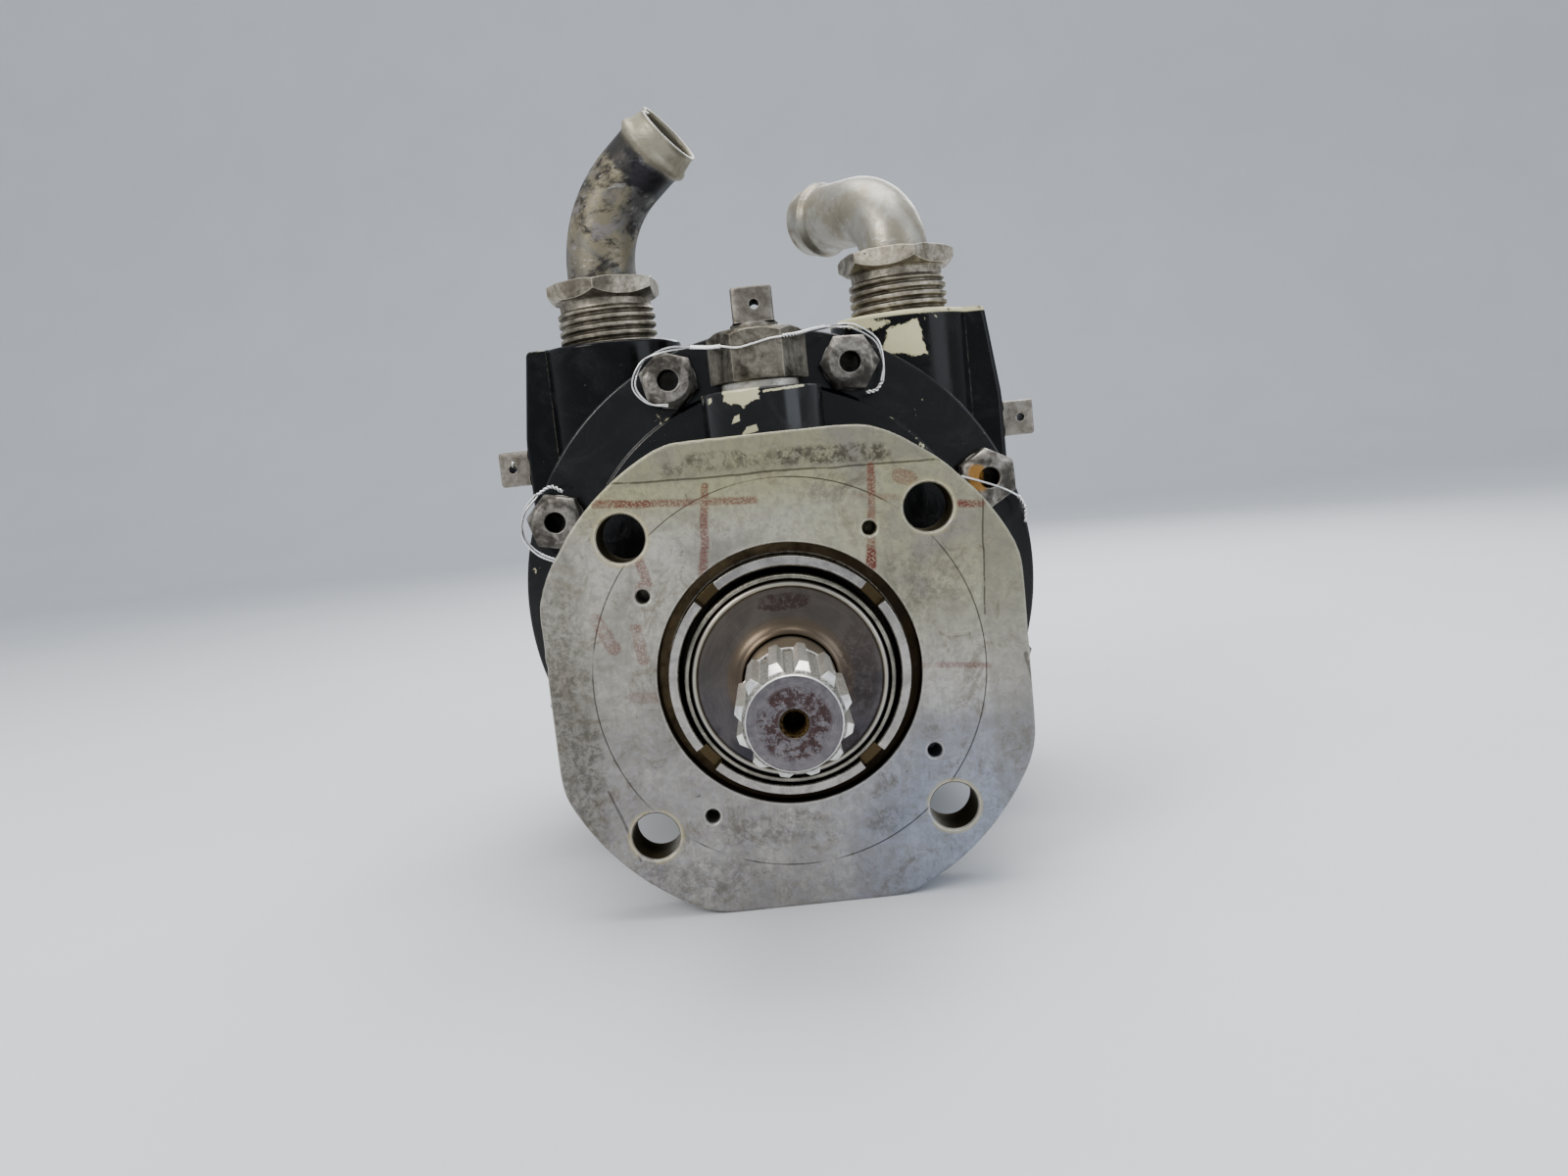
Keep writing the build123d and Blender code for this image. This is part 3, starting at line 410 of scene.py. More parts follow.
def plate_metal():
    """The seal's domed plate: dark tarnish, painted light making it lighter and browner towards the top, a
    brown hub ring, a rust stain and a bright bead.
    """
    s = Shade("plate_steel")
    x, y, z = s.parts()
    radius = s.length(x, z)
    ring = s.noise(2600, 2, 0.5, place=s.join(radius, 0, 0))
    mottle = s.noise(70, 6, 0.65, 1.2, seed=3.9)
    colour = s.mix(s.step(mottle, 0.34, 0.66), (0.062, 0.06, 0.07), (0.12, 0.11, 0.112))
    # painted light: lighter and browner towards the top
    colour = s.tint(colour, s.rise(z, -14, 20), 0.55, (0.15, 0.128, 0.098))
    colour = s.tint(colour, s.band(radius, 15.4, 1.6, 2.4), 0.5, (0.145, 0.105, 0.062))
    colour = s.tint(colour, s.step(ring, 0.4, 0.65), 0.25, (0.05, 0.045, 0.045))
    bead = s.band(radius, 27.6, 0.35, 0.3)
    colour = s.tint(colour, bead, 0.85, (0.46, 0.44, 0.38))
    edge = s.spots(0.4, 0.52, 420, 8, 0.8, 0.5, seed=7.7)
    stain = s.both(s.patch(x, z, (0.2, 22.6), (7.2, 2.3), 2.6, 420, 0.3, 2.1), edge)
    smudge = s.both(s.patch(x, z, (20, 1), (5, 13), 3.4, 210, 0.7, 5.1), edge)
    low = s.both(s.patch(x, z, (13, -19), (5, 3.4), 3, 260, 0.6, 3.1), edge)
    dark = s.either(stain, s.times(s.either(smudge, low), 0.6))
    colour = s.tint(colour, dark, 0.9, (0.026, 0.013, 0.011))
    rough = s.blend(dark, s.blend(mottle, 0.26, 0.42), 0.75)
    return s.finish(colour, s.blend(dark, 0.92, 0.2), rough, ring, 0.02, 0.5, 0.4)


def shaft_metal():
    """The shaft: bright worn teeth, grainy spaces, and a grey nose rusted about its hole."""
    s = Shade("shaft_steel")
    x, y, z = s.parts()
    radius = s.length(x, z)
    ring = s.noise(4200, 2, 0.5, place=s.join(radius, 0, 0))
    mottle = s.noise(380, 7, 0.72, 0.6, seed=3.9)
    colour = s.mix(s.step(mottle, 0.34, 0.66), (0.72, 0.71, 0.67), (0.96, 0.955, 0.93))
    grain = s.spots(0.42, 0.6, 1400, 5, 0.8, seed=2.6)
    space = s.both(s.rise(radius, 13.1, 12.6), s.rise(y, -61.9, -61.2))
    colour = s.mix(space, colour, s.mix(grain, (0.15, 0.145, 0.135), (0.46, 0.45, 0.42)))
    nose = s.both(s.fall(y, -61.9, -61.5), s.rise(radius, 11.9, 11.6))
    face = s.mix(s.step(mottle, 0.35, 0.65), (0.17, 0.16, 0.17), (0.25, 0.235, 0.24))
    face = s.tint(face, s.step(ring, 0.42, 0.6), 0.4, (0.09, 0.085, 0.09))
    ragged = s.spots(0.48, 0.52, 330, 9, 0.82, 0.2, seed=7.7)
    rust = s.both(s.band(radius, 6.4, 1.9, 1.6), ragged, nose)
    face = s.tint(face, rust, 0.92, s.mix(grain, (0.026, 0.009, 0.009), (0.06, 0.022, 0.019)))
    colour = s.mix(nose, colour, face)
    hole = s.both(s.rise(radius, 3.9, 3.6), s.rise(y, -61.95, -61.5))
    colour = s.mix(hole, colour, s.mix(grain, (0.05, 0.034, 0.016), (0.24, 0.17, 0.085)))
    tarnish = s.rise(y, -31, -28)
    colour = s.tint(colour, tarnish, 0.7, (0.3, 0.24, 0.15))
    rough = s.blend(s.either(rust, space), s.blend(mottle, 0.28, 0.42), 0.66)
    return s.finish(colour, s.blend(rust, 1, 0.15), rough, s.blend(space, ring, grain), 0.03, 0.6, 0.35)


def tube_metal(name, bright, cream, streak, strength, metallic, rough, end=None):
    """A painted and rubbed tube: cream and dark streaks that lean along it, a painted highlight on the rim
    and painted shade in the bore.
    """
    s = Shade(name)
    lean = s.stretch((0.55, 1, 1), (0.3, 0.6, 0.2))
    streaks = s.noise(95, 8, 0.75, 0.35, place=lean, seed=2.7)
    fine = s.noise(520, 7, 0.78, 0.6, seed=6.4)
    colour = s.mix(s.spots(0.38, 0.6, 46, 5, 0.6, 0.8, seed=1.9), bright, cream)
    dark = s.times(s.step(streaks, 0.47, 0.6), strength)
    colour = s.mix(dark, colour, streak)
    lilac = s.spots(0.54, 0.64, 75, 5, 0.65, 0.6, seed=5.1)
    colour = s.tint(colour, lilac, strength * 0.6, (0.24, 0.225, 0.25))
    colour = s.tint(colour, s.step(fine, 0.5, 0.68), strength * 0.35, scaled(streak, 0.5))
    scuffs = s.spots(0.62, 0.7, 420, 3, 0.6, place=s.stretch((0.1, 1, 1), (0.3, 0.6, 0.2)), seed=9)
    colour = s.tint(colour, scuffs, 0.35, (0.55, 0.54, 0.52))
    if end:
        point, way = end
        back = s.vector("DOT_PRODUCT", s.vector("SUBTRACT", s.place, scaled(point, MM)), way)
        shaky = s.sum(back, s.shake(streaks, 9 * MM))
        colour = s.tint(colour, s.band(shaky, -15.5, 3, 3), 0.85, (0.022, 0.021, 0.026))
        colour = s.tint(colour, s.rise(shaky, -11, -9), 0.6, (0.42, 0.385, 0.29))
    # painted highlight: a bright line along the rim and the tube's other convex edges
    rim = s.edges(1, 0.03, 0.12)
    colour = s.tint(colour, rim, 0.9, (0.86, 0.86, 0.84))
    # painted shade: the bore goes nearly black inside
    colour = s.tint(colour, s.cavity(26, 0.2, 0.5), 0.95, (0.012, 0.011, 0.01))
    return s.finish(colour, metallic, s.blend(dark, s.blend(fine, *rough), 0.6),
            s.less(scuffs, s.step(fine, 0.5, 0.7)), 0.05, 0.6, 0.4)


def rubber():
    s = Shade("seal_rubber")
    colour = s.mix(s.noise(300, 4), (0.012, 0.012, 0.012), (0.035, 0.034, 0.033))
    return s.finish(colour, 0, 0.62, s.noise(1800, 3), 0.03, 0.5)


# ---------------- mounting flange
def flange_face_marks(s, x, z):
    """Crayon, scribed lines, dirt and stains on the mounting face: masks by kind."""
    radius = s.length(x, z)
    drift = s.shake(s.noise(60, 3, seed=1.1), 2.4 * MM)
    shaky = s.join(s.sum(x, drift), 0, s.less(z, drift))
    broken = s.spots(0.3, 0.46, 420, 5, 0.7, seed=2.9)
    scribed = s.both(s.band(radius, 58, 0.09, 0.2), s.spots(0.36, 0.5, 34, 3, seed=4.1))
    witness = s.either(s.stroke(shaky, (-46, 61), (50, 58), 0.16, 0.3),
            s.stroke(shaky, (61, 53), (58.6, 12), 0.1, 0.3))
    nick = s.either(s.stroke(shaky, (-57, -30), (-50, -52), 0.1, 0.5),
            s.stroke(shaky, (69.5, -1), (71, -8), 0.5, 0.6))
    lines = s.either(s.times(scribed, 0.8), s.times(s.both(witness, broken), 0.7),
            s.times(s.both(nick, broken), 0.6))
    # wax crayon: broken, grainy strokes and smudges, each with its strength
    wax = s.spots(0.37, 0.54, 1500, 5, 0.75, seed=5)
    gaps = s.spots(0.38, 0.5, 130, 5, 0.7, seed=8.8)
    crayon = 0
    for a, b, half, strength in (
            ((-51, 55.4), (-36, 54.3), 0.75, 1), ((-36, 54.3), (-5, 52), 0.7, 0.75),
            ((-19, 57.5), (-22, 32), 0.8, 0.8), ((29.5, 58), (26.6, 27), 0.8, 0.9),
            ((27.5, 33.5), (27, 29.5), 1.1, 1.2), ((53.7, 45.3), (60.2, 44.4), 0.7, 1),
            ((23, 50.5), (43, 47.5), 0.5, 0.4), ((37.5, 54.5), (40.5, 53.6), 1.7, 0.6),
            ((-40, 38), (-38.4, 31), 1, 0.7), ((-40, 30), (-41.5, 27.5), 1.4, 0.7),
            ((-55, 22), (-50.5, 13), 1.6, 0.6), ((-43.5, 18), (-42.5, 9), 1.3, 0.65),
            ((-46, -2), (-41, -2.5), 1.2, 0.35), ((37, -1.2), (58.5, -3.4), 0.45, 0.55)):
        crayon = s.either(crayon, s.times(s.stroke(shaky, a, b, half, 0.8), strength))
    crayon = s.both(crayon, wax, s.blend(s.times(crayon, 0.7), gaps, 1))
    # greasy speckled dirt: a band below the top flat, and clouds at the left and bottom edges
    grain = s.spots(0.44, 0.57, 300, 10, 0.84, 0.3, seed=6.6)
    band = s.either(s.stroke(shaky, (4, 63.6), (33, 61.9), 1.7, 2),
            s.times(s.stroke(shaky, (-30, 63.2), (4, 63.6), 0.6, 2.6), 0.7),
            s.times(s.stroke(shaky, (-22, 65.3), (-6, 65.4), 0.8, 1.6), 0.9))
    cloud = band
    for centre, size, ragged, scale, soft, seed, strength in (
            ((-66, -8), (8, 44), 4, 70, 1, 2.3, 0.7), ((-38, -60), (20, 8), 4, 90, 1, 3.3, 0.5),
            ((-8, -46), (15, 5), 4.2, 120, 1, 6.3, 0.5), ((24, -47), (7, 4), 4, 120, 1, 0.3, 0.45),
            ((18, 53), (9, 4), 4.2, 150, 0.9, 1.3, 0.5), ((42, 24), (12, 10), 4, 120, 1, 5.3, 0.45)):
        patch = s.patch(x, z, centre, size, ragged, scale, soft, seed)
        cloud = s.either(cloud, s.times(patch, strength))
    scatter = s.spots(0.6, 0.66, 230, 9, 0.82, 0.4, seed=9.9)
    dirt = s.either(s.both(cloud, grain), s.times(scatter, 0.75))
    return lines, crayon, dirt


def cover_metal():
    """Bare machined aluminium on the mounting flange, black paint on the neck and case flange."""
    s = Shade("cover_metal")
    x, y, z = s.parts()
    radius = s.length(x, z)
    cloudy = s.noise(30, 6, 0.62, 0.6, seed=4.2)
    fine = s.noise(350, 6, 0.7, 0.3, seed=0.6)
    lay = s.noise(70, 5, 0.7, place=s.stretch((14, 14, 0.6), (0, radians(38), 0)), seed=3)
    mottle = s.spots(0.4, 0.6, 330, 9, 0.8, 0.5, seed=7.9)
    alloy = s.mix(s.step(cloudy, 0.38, 0.62), (0.3, 0.285, 0.25), (0.5, 0.48, 0.425))
    olive = s.both(s.rise(x, -25, 50), s.rise(z, -10, 45), s.step(cloudy, 0.3, 0.56))
    olive = s.either(olive, s.both(s.rise(z, 40, 58), s.step(cloudy, 0.3, 0.6)))
    alloy = s.tint(alloy, olive, 0.8, (0.37, 0.36, 0.2))
    lilac = s.both(s.rise(z, 18, -35), s.step(fine, 0.2, 0.7))
    alloy = s.tint(alloy, lilac, 0.55, (0.33, 0.325, 0.385))
    # painted reflection: a blue tint over the lower right of the flange
    painted_blue_reflection = s.both(s.rise(z, 0, -50), s.rise(x, -5, 45))
    alloy = s.tint(alloy, painted_blue_reflection, 0.65, (0.28, 0.33, 0.45))
    border = s.either(s.rise(z, 58.5, 60), s.rise(x, 57.5, 60), s.rise(x, -56, -62))
    alloy = s.tint(alloy, border, 0.34, (0.2, 0.19, 0.155))
    alloy = s.tint(alloy, s.step(lay, 0.45, 0.75), 0.25, (0.22, 0.21, 0.19))
    alloy = s.tint(alloy, s.flip(mottle), 0.42, (0.2, 0.19, 0.165))
    oxide = s.spots(0.5, 0.64, 85, 9, 0.8, 0.8, seed=7)
    alloy = s.tint(alloy, oxide, 0.48, (0.19, 0.165, 0.125))
    lines, crayon, dirt = flange_face_marks(s, x, z)
    face = s.fall(y, 0.05, 0.3)
    alloy = s.mix(s.both(face, dirt, s.sum(0.6, s.times(fine, 0.4))), alloy, (0.032, 0.026, 0.017))
    alloy = s.tint(alloy, s.both(face, lines), 0.92, (0.03, 0.025, 0.018))
    alloy = s.tint(alloy, s.both(face, crayon), 0.9, (0.13, 0.022, 0.014))
    # the counterbore and hole walls are darkened by old oil, golden at the left
    recess = s.both(s.rise(radius, 40.2, 39.7), s.rise(y, 0.1, 1.2))
    golden = s.both(s.rise(s.vector("DOT_PRODUCT", s.join(x, 0, z), (-0.8, 0, 0.6)), -8, 26),
            s.band(radius, 37.4, 1, 0.8), s.spots(0.3, 0.6, 120, 6, 0.7, seed=2.2))
    oil = s.mix(s.noise(90, 5, 0.6, 1), (0.016, 0.012, 0.009), (0.075, 0.05, 0.026))
    alloy = s.mix(recess, alloy, s.tint(oil, golden, 0.7, (0.2, 0.155, 0.09)))
    # worn yellowish rings at the mounting holes
    hole_x = s.less(s.size(x), HOLE_AT * MM)
    hole_z = s.less(s.size(z), HOLE_AT * MM)
    ring = s.length(hole_x, hole_z)
    lip = s.both(s.band(ring, 7.9, 0.5, 0.35), s.spots(0.36, 0.5, 160, 5, 0.7, seed=3.8))
    alloy = s.tint(alloy, lip, 0.5, (0.46, 0.4, 0.22))
    wall = s.both(s.rise(ring, 7.4, 7.2), s.rise(y, 0.5, 1.5))
    alloy = s.mix(wall, alloy, s.mix(s.noise(150, 6, 0.7, seed=1.2), (0.05, 0.042, 0.03), (0.26, 0.22, 0.13)))
    colour, metal, rough, height = paint_layers(s, 0.64, 1.05)
    # a long cream chip under the rim of the drain boss
    ragged = s.shake(s.noise(300, 9, 0.8, 0.6, seed=4.4), 5 * MM)
    slight = s.times(ragged, 0.35)
    flat = s.join(x, 0, z)
    bared = s.stroke(s.join(s.sum(x, slight), 0, s.sum(z, slight)), (1, 83.6), (13, 84.4), 0.2, 0.3)
    for corners, edge in (
            ([(-11.5, 81.8), (-5.7, 79.6), (-0.8, 81.4), (-0.2, 86), (-12, 86)], ragged),
            ([(-18, 80.8), (-15.2, 82), (-15.2, 83.6), (-17.2, 83.2)], slight),
            ([(-9.8, 74.8), (-7.2, 75.6), (-7.2, 77.4), (-8.8, 77)], slight),
            ([(-7, 71.2), (-1.8, 72), (-2.4, 74), (-5.5, 73.6)], slight)):
        bared = s.either(bared, s.flake(flat, corners, edge))
    bared = s.both(bared, s.fall(y, 24, 26))
    colour = s.mix(bared, colour, s.mix(s.noise(90, 4), (0.5, 0.47, 0.3), (0.66, 0.63, 0.45)))
    # paint starts behind the front face and is scraped back from the flange's rim
    scraped = s.times(s.noise(140, 6, 0.75, 0.8, seed=5.8), 22 * MM)
    rim = s.both(s.rise(radius, 50, 52), s.fall(y, 14.9, 15.2))
    painted = s.either(s.rise(y, 14.9, 15.2), s.both(rim, s.rise(s.less(y, scraped), 0, 0.8)))
    painted = s.both(painted, s.rise(radius, 38, 40))
    holes = s.both(s.band(s.size(x), HOLE_AT, 7.3, 0.1), s.band(s.size(z), HOLE_AT, 7.3, 0.1),
                   s.fall(y, 14.8, 14.9))
    painted = s.both(painted, s.flip(holes))
    bare_edge = s.both(s.edges(1.2, 0.02, 0.1), s.step(fine, 0.3, 0.55))
    alloy = s.tint(alloy, bare_edge, 0.9, (0.84, 0.82, 0.74))
    metallic = s.blend(painted, s.blend(s.either(dirt, crayon), 0.78, 0.25), metal)
    bare_rough = s.blend(s.either(dirt, oxide), s.blend(cloudy, 0.34, 0.5), 0.68)
    relief = s.sum(s.sum(s.times(lay, 0.5), s.times(fine, 0.35)), s.times(mottle, 0.5))
    relief = s.blend(painted, s.less(relief, s.both(face, lines)), height)
    colour, rough = s.mix(painted, alloy, colour), s.blend(painted, bare_rough, rough)
    return s.finish(colour, metallic, rough, relief, 0.07, 0.8, 0.6)


# ---------------- finishes of the CAD nodes
def dress_nodes():
    """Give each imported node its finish; all but two have the name of their slot.

    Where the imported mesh's own material has that name, the new one's name gets a dot and a number.
    """
    finishes = {material.name.split(".")[0]: material for material in (
        cover_metal(), case_paint(), rubber(),
        brushed("fastener_steel", (0.46, 0.44, 0.4), (0.22, 0.2, 0.18), (0.3, 0.52), grime=0.8, scale=420,
            speck=0.9, stain=((69.5, 49.5), (3.2, 4.6), (0.45, 0.25, 0.07))),
        brushed("plug_steel", (0.38, 0.355, 0.315), (0.21, 0.19, 0.16), (0.34, 0.55), grime=0.5, scale=320),
        brushed("gland_nut", (0.52, 0.48, 0.405), (0.25, 0.225, 0.18), (0.34, 0.54), grime=0.65, scale=260,
                speck=0.85),
        brushed("drain_fitting", (0.3, 0.28, 0.235), (0.125, 0.11, 0.088), (0.32, 0.55), grime=0.95,
            scale=300, speck=0.9),
        tube_metal("left_tube", (0.15, 0.147, 0.14), (0.235, 0.21, 0.15), (0.03, 0.027, 0.026), 0.9, 0.5,
            (0.34, 0.52), ((-23.6, 95, 182.8), (0.7591, -0.2685, 0.5931))),
        tube_metal("right_tube", (0.42, 0.41, 0.37), (0.33, 0.3, 0.235), (0.19, 0.16, 0.115), 0.3, 0.6,
            (0.3, 0.42)),
        brushed("drain_washer", (0.66, 0.64, 0.58), (0.48, 0.46, 0.41), (0.35, 0.5), grime=0.3),
        brushed("lockwire_steel", (0.95, 0.95, 0.94), (0.74, 0.74, 0.73), (0.16, 0.28), grime=0.1, scale=900),
        brushed("block_aluminium", (0.72, 0.72, 0.73), (0.6, 0.6, 0.61), (0.3, 0.42), grime=0.15),
        brushed("gear_steel", (0.5, 0.5, 0.51), (0.38, 0.38, 0.39), (0.2, 0.34), grime=0.2),
        turned_metal("ring_nut_steel", (0.54, 0.52, 0.49), (0.32, 0.305, 0.29),
            deep=(-1.4, (0.085, 0.064, 0.036))),
        # the carrier's tone past its depth is painted shade: nearly black where the cup sinks behind the ring
        # nut
        turned_metal("carrier_steel", (0.38, 0.365, 0.31), (0.2, 0.19, 0.165),
            deep=(-4, (0.02, 0.018, 0.016))),
        plate_metal(),
        shaft_metal(),
        turned_metal("bearing_steel", (0.72, 0.73, 0.75), (0.6, 0.61, 0.63), (0.08, 0.16)),
        turned_metal("cage_brass", (0.66, 0.5, 0.24), (0.46, 0.32, 0.13)),
        turned_metal("bush_bronze", (0.58, 0.4, 0.21), (0.42, 0.27, 0.12)))}
    finishes["bare_cover"], finishes["black_case"] = finishes.pop("cover_metal"), finishes.pop("case_paint")
    for part in frame["record"]["subparts"]:
        materials = NODES[part["node"]].data.materials
        materials.clear()
        materials.append(finishes[part["material_slot"]])
    return finishes


# ---------------- mesh building, in millimetres
def across(x=0, z=0, y=0, way=1):
    """Place for a turned shape about an axis along Y: radius in X and Z, height along way times Y."""
    return lambda u, v, h: Vector((x + u, y + way * h, z + v))


def upright_at(x, y):
    return lambda u, v, h: Vector((x + u, y + v, h))


def sideways(y, z, way):
    return lambda u, v, h: Vector((way * h, y + u, z + v))


def at(value, angle):
    return value(angle) if callable(value) else value


def plus(base, amount):
    return (lambda a: base(a) + amount) if callable(base) else base + amount


def quarter(base, height, out, along, wall_first=False, steps=4):
    """Rings of a quarter round between a face at height and a wall at radius base."""
    turns = [pi / 2 * i / steps for i in range(steps + 1)]
    rings = [(plus(base, out * (1 - sin(t))), plus(height, along * (1 - cos(t)))) for t in turns]
    return rings[::-1] if wall_first else rings


def skin(rings, place, count=96, angles=None, closed=False):
    """A surface through rings of (radius, height) about an axis; both may vary with the angle."""
    angles = angles or [2 * pi * i / count for i in range(count)]
    mesh = bmesh.new()
    rows = []
    for radius, height in rings:
        turns = [0] if radius == 0 else angles
        rows.append([mesh.verts.new(place(at(radius, a) * cos(a), at(radius, a) * sin(a), at(height, a)))
                for a in turns])
    for near, far in list(zip(rows, rows[1:])) + ([(rows[-1], rows[0])] if closed else []):
        for i in range(len(angles)):
            j = (i + 1) % len(angles)
            corners = [near[i % len(near)], near[j % len(near)], far[j % len(far)], far[i % len(far)]]
            mesh.faces.new(list(dict.fromkeys(corners)))
    bmesh.ops.recalc_face_normals(mesh, faces=mesh.faces)
    return mesh


def carve(base, *others, operation="DIFFERENCE"):
    """The exact union or difference of closed meshes."""
    things = [put("work", spend(mesh)) for mesh in (base,) + others]
    for other in things[1:]:
        change = things[0].modifiers.new("carve", "BOOLEAN")
        change.operation, change.solver, change.object = operation, "EXACT", other
    result = bmesh.new()
    result.from_object(things[0], bpy.context.evaluated_depsgraph_get())
    for thing in things:
        data = thing.data
        bpy.data.objects.remove(thing)
        bpy.data.meshes.remove(data)
    return result


def together(*meshes):
    """Several meshes in one, left as separate shells."""
    whole = bmesh.new()
    for mesh in meshes:
        data = spend(mesh)
        whole.from_mesh(data)
        bpy.data.meshes.remove(data)
    return whole


def piece(name, mesh, slot, *nodes, body="root", sharp=32):
    """A finished piece that stands for CAD nodes and rides on a body."""
    data = spend(mesh, name)
    data.transform(Matrix.Scale(MM, 4))
    data.shade_smooth()
    data.set_sharp_from_angle(angle=radians(sharp))
    data.materials.append(FINISHES[slot])
    thing = put(name, data)
    thing.modifiers.new("even shading", "WEIGHTED_NORMAL").keep_sharp = True
    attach(thing, body)
    if nodes:
        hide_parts(*nodes)
    return thing


def polygon(flats, sides=6, turn=0):
    """Radius of a regular polygon by angle, with a flat facing the angle turn, in degrees."""
    wedge = 2 * pi / sides

    def radius(a):
        return flats / 2 / cos((a - radians(turn) + wedge / 2) % wedge - wedge / 2)
    return radius


def polygon_angles(sides, turn=0, per_side=12):
    """Angles that hit every corner of a polygon exactly."""
    first = radians(turn) + pi / sides
    return [first + 2 * pi * i / (sides * per_side) for i in range(sides * per_side)]


def squircle(half, power=11):
    """Radius of a square with round corners, by angle."""
    return lambda a: half / (abs(cos(a)) ** power + abs(sin(a)) ** power) ** (1 / power)


def drill(radius, front, back, place, flare=0.5, both=False, count=48):
    """A cutter for a hole with a chamfered mouth at front, and at back if both."""
    way = 1 if back > front else -1
    rings = [(0, front - way), (radius + flare, front - way), (radius + flare, front),
            (radius, front + way * flare)]
    if both:
        rings += [(radius, back - way * flare), (radius + flare, back), (radius + flare, back + way),
                (0, back + way)]
    else:
        rings += [(radius, back), (0, back + way * radius * 0.5)]
    return skin(rings, place, count)


# ---------------- housings
HALF_FLAT, CORNER_R = 71, 76.5
CASE_UP = 19.05
HOLE_AT = 44.9
PORT_X, PORT_Y, PORT_TOP = 54.7, 106, 110.5
PAD_OUT, PAD_TOP_OUT, PAD_HALF, PLUG_Z = 88, 84, 15, 69
DRAIN_Y, DRAIN_TOP = 35, 85
BOLT_CIRCLE = 79.375


def flange_outline(a):
    """Four flats and four large corners, blended."""
    power = 90
    reach = [CORNER_R, HALF_FLAT / max(abs(cos(a)), 1e-3), HALF_FLAT / max(abs(sin(a)), 1e-3)]
    least = min(reach)
    return least * sum((least / r) ** power for r in reach) ** (-1 / power)


def nicked(a):
    """The front edge of the flange, chipped most at the upper left."""
    rough = noise.fractal(Vector((9 * cos(a), 9 * sin(a), 3)), 0.7, 2.2, 5)
    upper_left = 0.35 + 0.65 * max(0, cos(a - radians(132))) ** 2
    return flange_outline(a) - 0.75 * upper_left * max(0, rough) ** 1.3


def about_case(radius):
    """A circle about the case's axis, as a radius about the shaft."""
    return lambda a: CASE_UP * sin(a) + sqrt(radius ** 2 - (CASE_UP * cos(a)) ** 2)


def front_cover():
    rings = quarter(39, 0, 0.45, 0.45, True)
    rings += [(plus(nicked, -1), 0), (plus(nicked, -0.35), 0.12),
            (nicked, 0.5), (lambda a: (nicked(a) + flange_outline(a)) / 2, 1.1),
            (flange_outline, 1.9)]
    rings += quarter(flange_outline, 15, -0.9, -0.9, True)
    rings += quarter(48, 15, 3, 3)
    rings += quarter(48, 59, 0.7, -2, True)
    rings += quarter(about_case(69), 59, -0.8, 0.8)
    rings += quarter(about_case(69), 62, 0.7, -0.7, True)
    rings += quarter(about_case(88), 62, -1, 1) + [(about_case(88), 76)]
    rings += [(12.5, 76), (12.5, 48), (24, 48), (24, 29), (31, 29), (31, 12),
            (35.6, 12), (35.6, 5), (39, 5)]
    cover = skin(rings, across(), 288, closed=True)
    boss = skin([(0, 37), (19.2, 37), (22, 46.5), (20.2, 50), (19.3, 55), (19.2, 60)]
            + quarter(19.2, DRAIN_TOP, -0.9, -0.9, True) + [(0, DRAIN_TOP)],
            upright_at(0, DRAIN_Y), 120)
    cover = carve(cover, boss, operation="UNION")
    cuts = [drill(7.145, 0, 15, across(sx * HOLE_AT, sz * HOLE_AT), 0.55, True, 64)
            for sx in (-1, 1) for sz in (-1, 1)]
    cuts += [drill(2.1, 0, 11, across(48.9 * cos(radians(a)), 48.9 * sin(radians(a))), 0.5)
            for a in (56, 146, 236, 326)]
    cuts.append(drill(8, DRAIN_TOP, 62, upright_at(0, DRAIN_Y), 0.8))
    piece("front_cover_casting", carve(cover, together(*cuts)), "bare_cover", "front_cover", sharp=38)


def pad(side):
    """The outer part of a port boss, drawn in towards its top, with round edges."""
    outline = [(PORT_X - 10, CASE_UP), (PAD_OUT, CASE_UP), (PAD_OUT, PLUG_Z + 9), (PAD_TOP_OUT, PORT_TOP),
            (PORT_X - 10, PORT_TOP)]
    mesh = bmesh.new()
    front = [mesh.verts.new((side * x, PORT_Y - PAD_HALF, z)) for x, z in outline]
    back = [mesh.verts.new((side * x, PORT_Y + PAD_HALF, z)) for x, z in outline]
    mesh.faces.new(front)
    mesh.faces.new(back)
    for i in range(len(outline)):
        j = (i + 1) % len(outline)
        mesh.faces.new((front[i], front[j], back[j], back[i]))
    bmesh.ops.recalc_face_normals(mesh, faces=mesh.faces)
    outer = [edge for edge in mesh.edges if all(abs(v.co.x) > PORT_X + 1 for v in edge.verts)]
    bmesh.ops.bevel(mesh, geom=outer, offset=2.2, segments=4, profile=0.5, affect="EDGES")
    return mesh


def chamber(a):
    """The two gear bores seen from the case's axis."""
    return CASE_UP * abs(sin(a)) + sqrt(22.27 ** 2 - (CASE_UP * cos(a)) ** 2)


def case_body():
    rings = [(chamber, 76)] + quarter(88, 76, -0.5, 0.5) + quarter(88, 136, -0.5, -0.5, True)
    body = skin(rings + [(chamber, 136)], across(z=CASE_UP), 240, closed=True)
    bosses, cuts = [], []
    for side in (-1, 1):
        rings = [(0, 45), (26.4, 45)] + quarter(26.4, PORT_TOP, -1.3, -1.3, True) + [(0, PORT_TOP)]
        bosses += [skin(rings, upright_at(side * PORT_X, PORT_Y), 144), pad(side)]
        # a worn lump beside each side plug
        rings = [(0, 80), (7.6, 80), (8.6, PAD_OUT - 0.8), (7.8, PAD_OUT + 0.3), (0, PAD_OUT + 0.3)]
        bosses.append(skin(rings, sideways(PORT_Y, PLUG_Z, side), 72))
        cuts.append(drill(18.15, PORT_TOP, 92, upright_at(side * PORT_X, PORT_Y), 0.7, count=96))
    body = carve(body, *bosses, operation="UNION")
    piece("case_casting", carve(body, together(*cuts)), "black_case", "case_body", sharp=38)


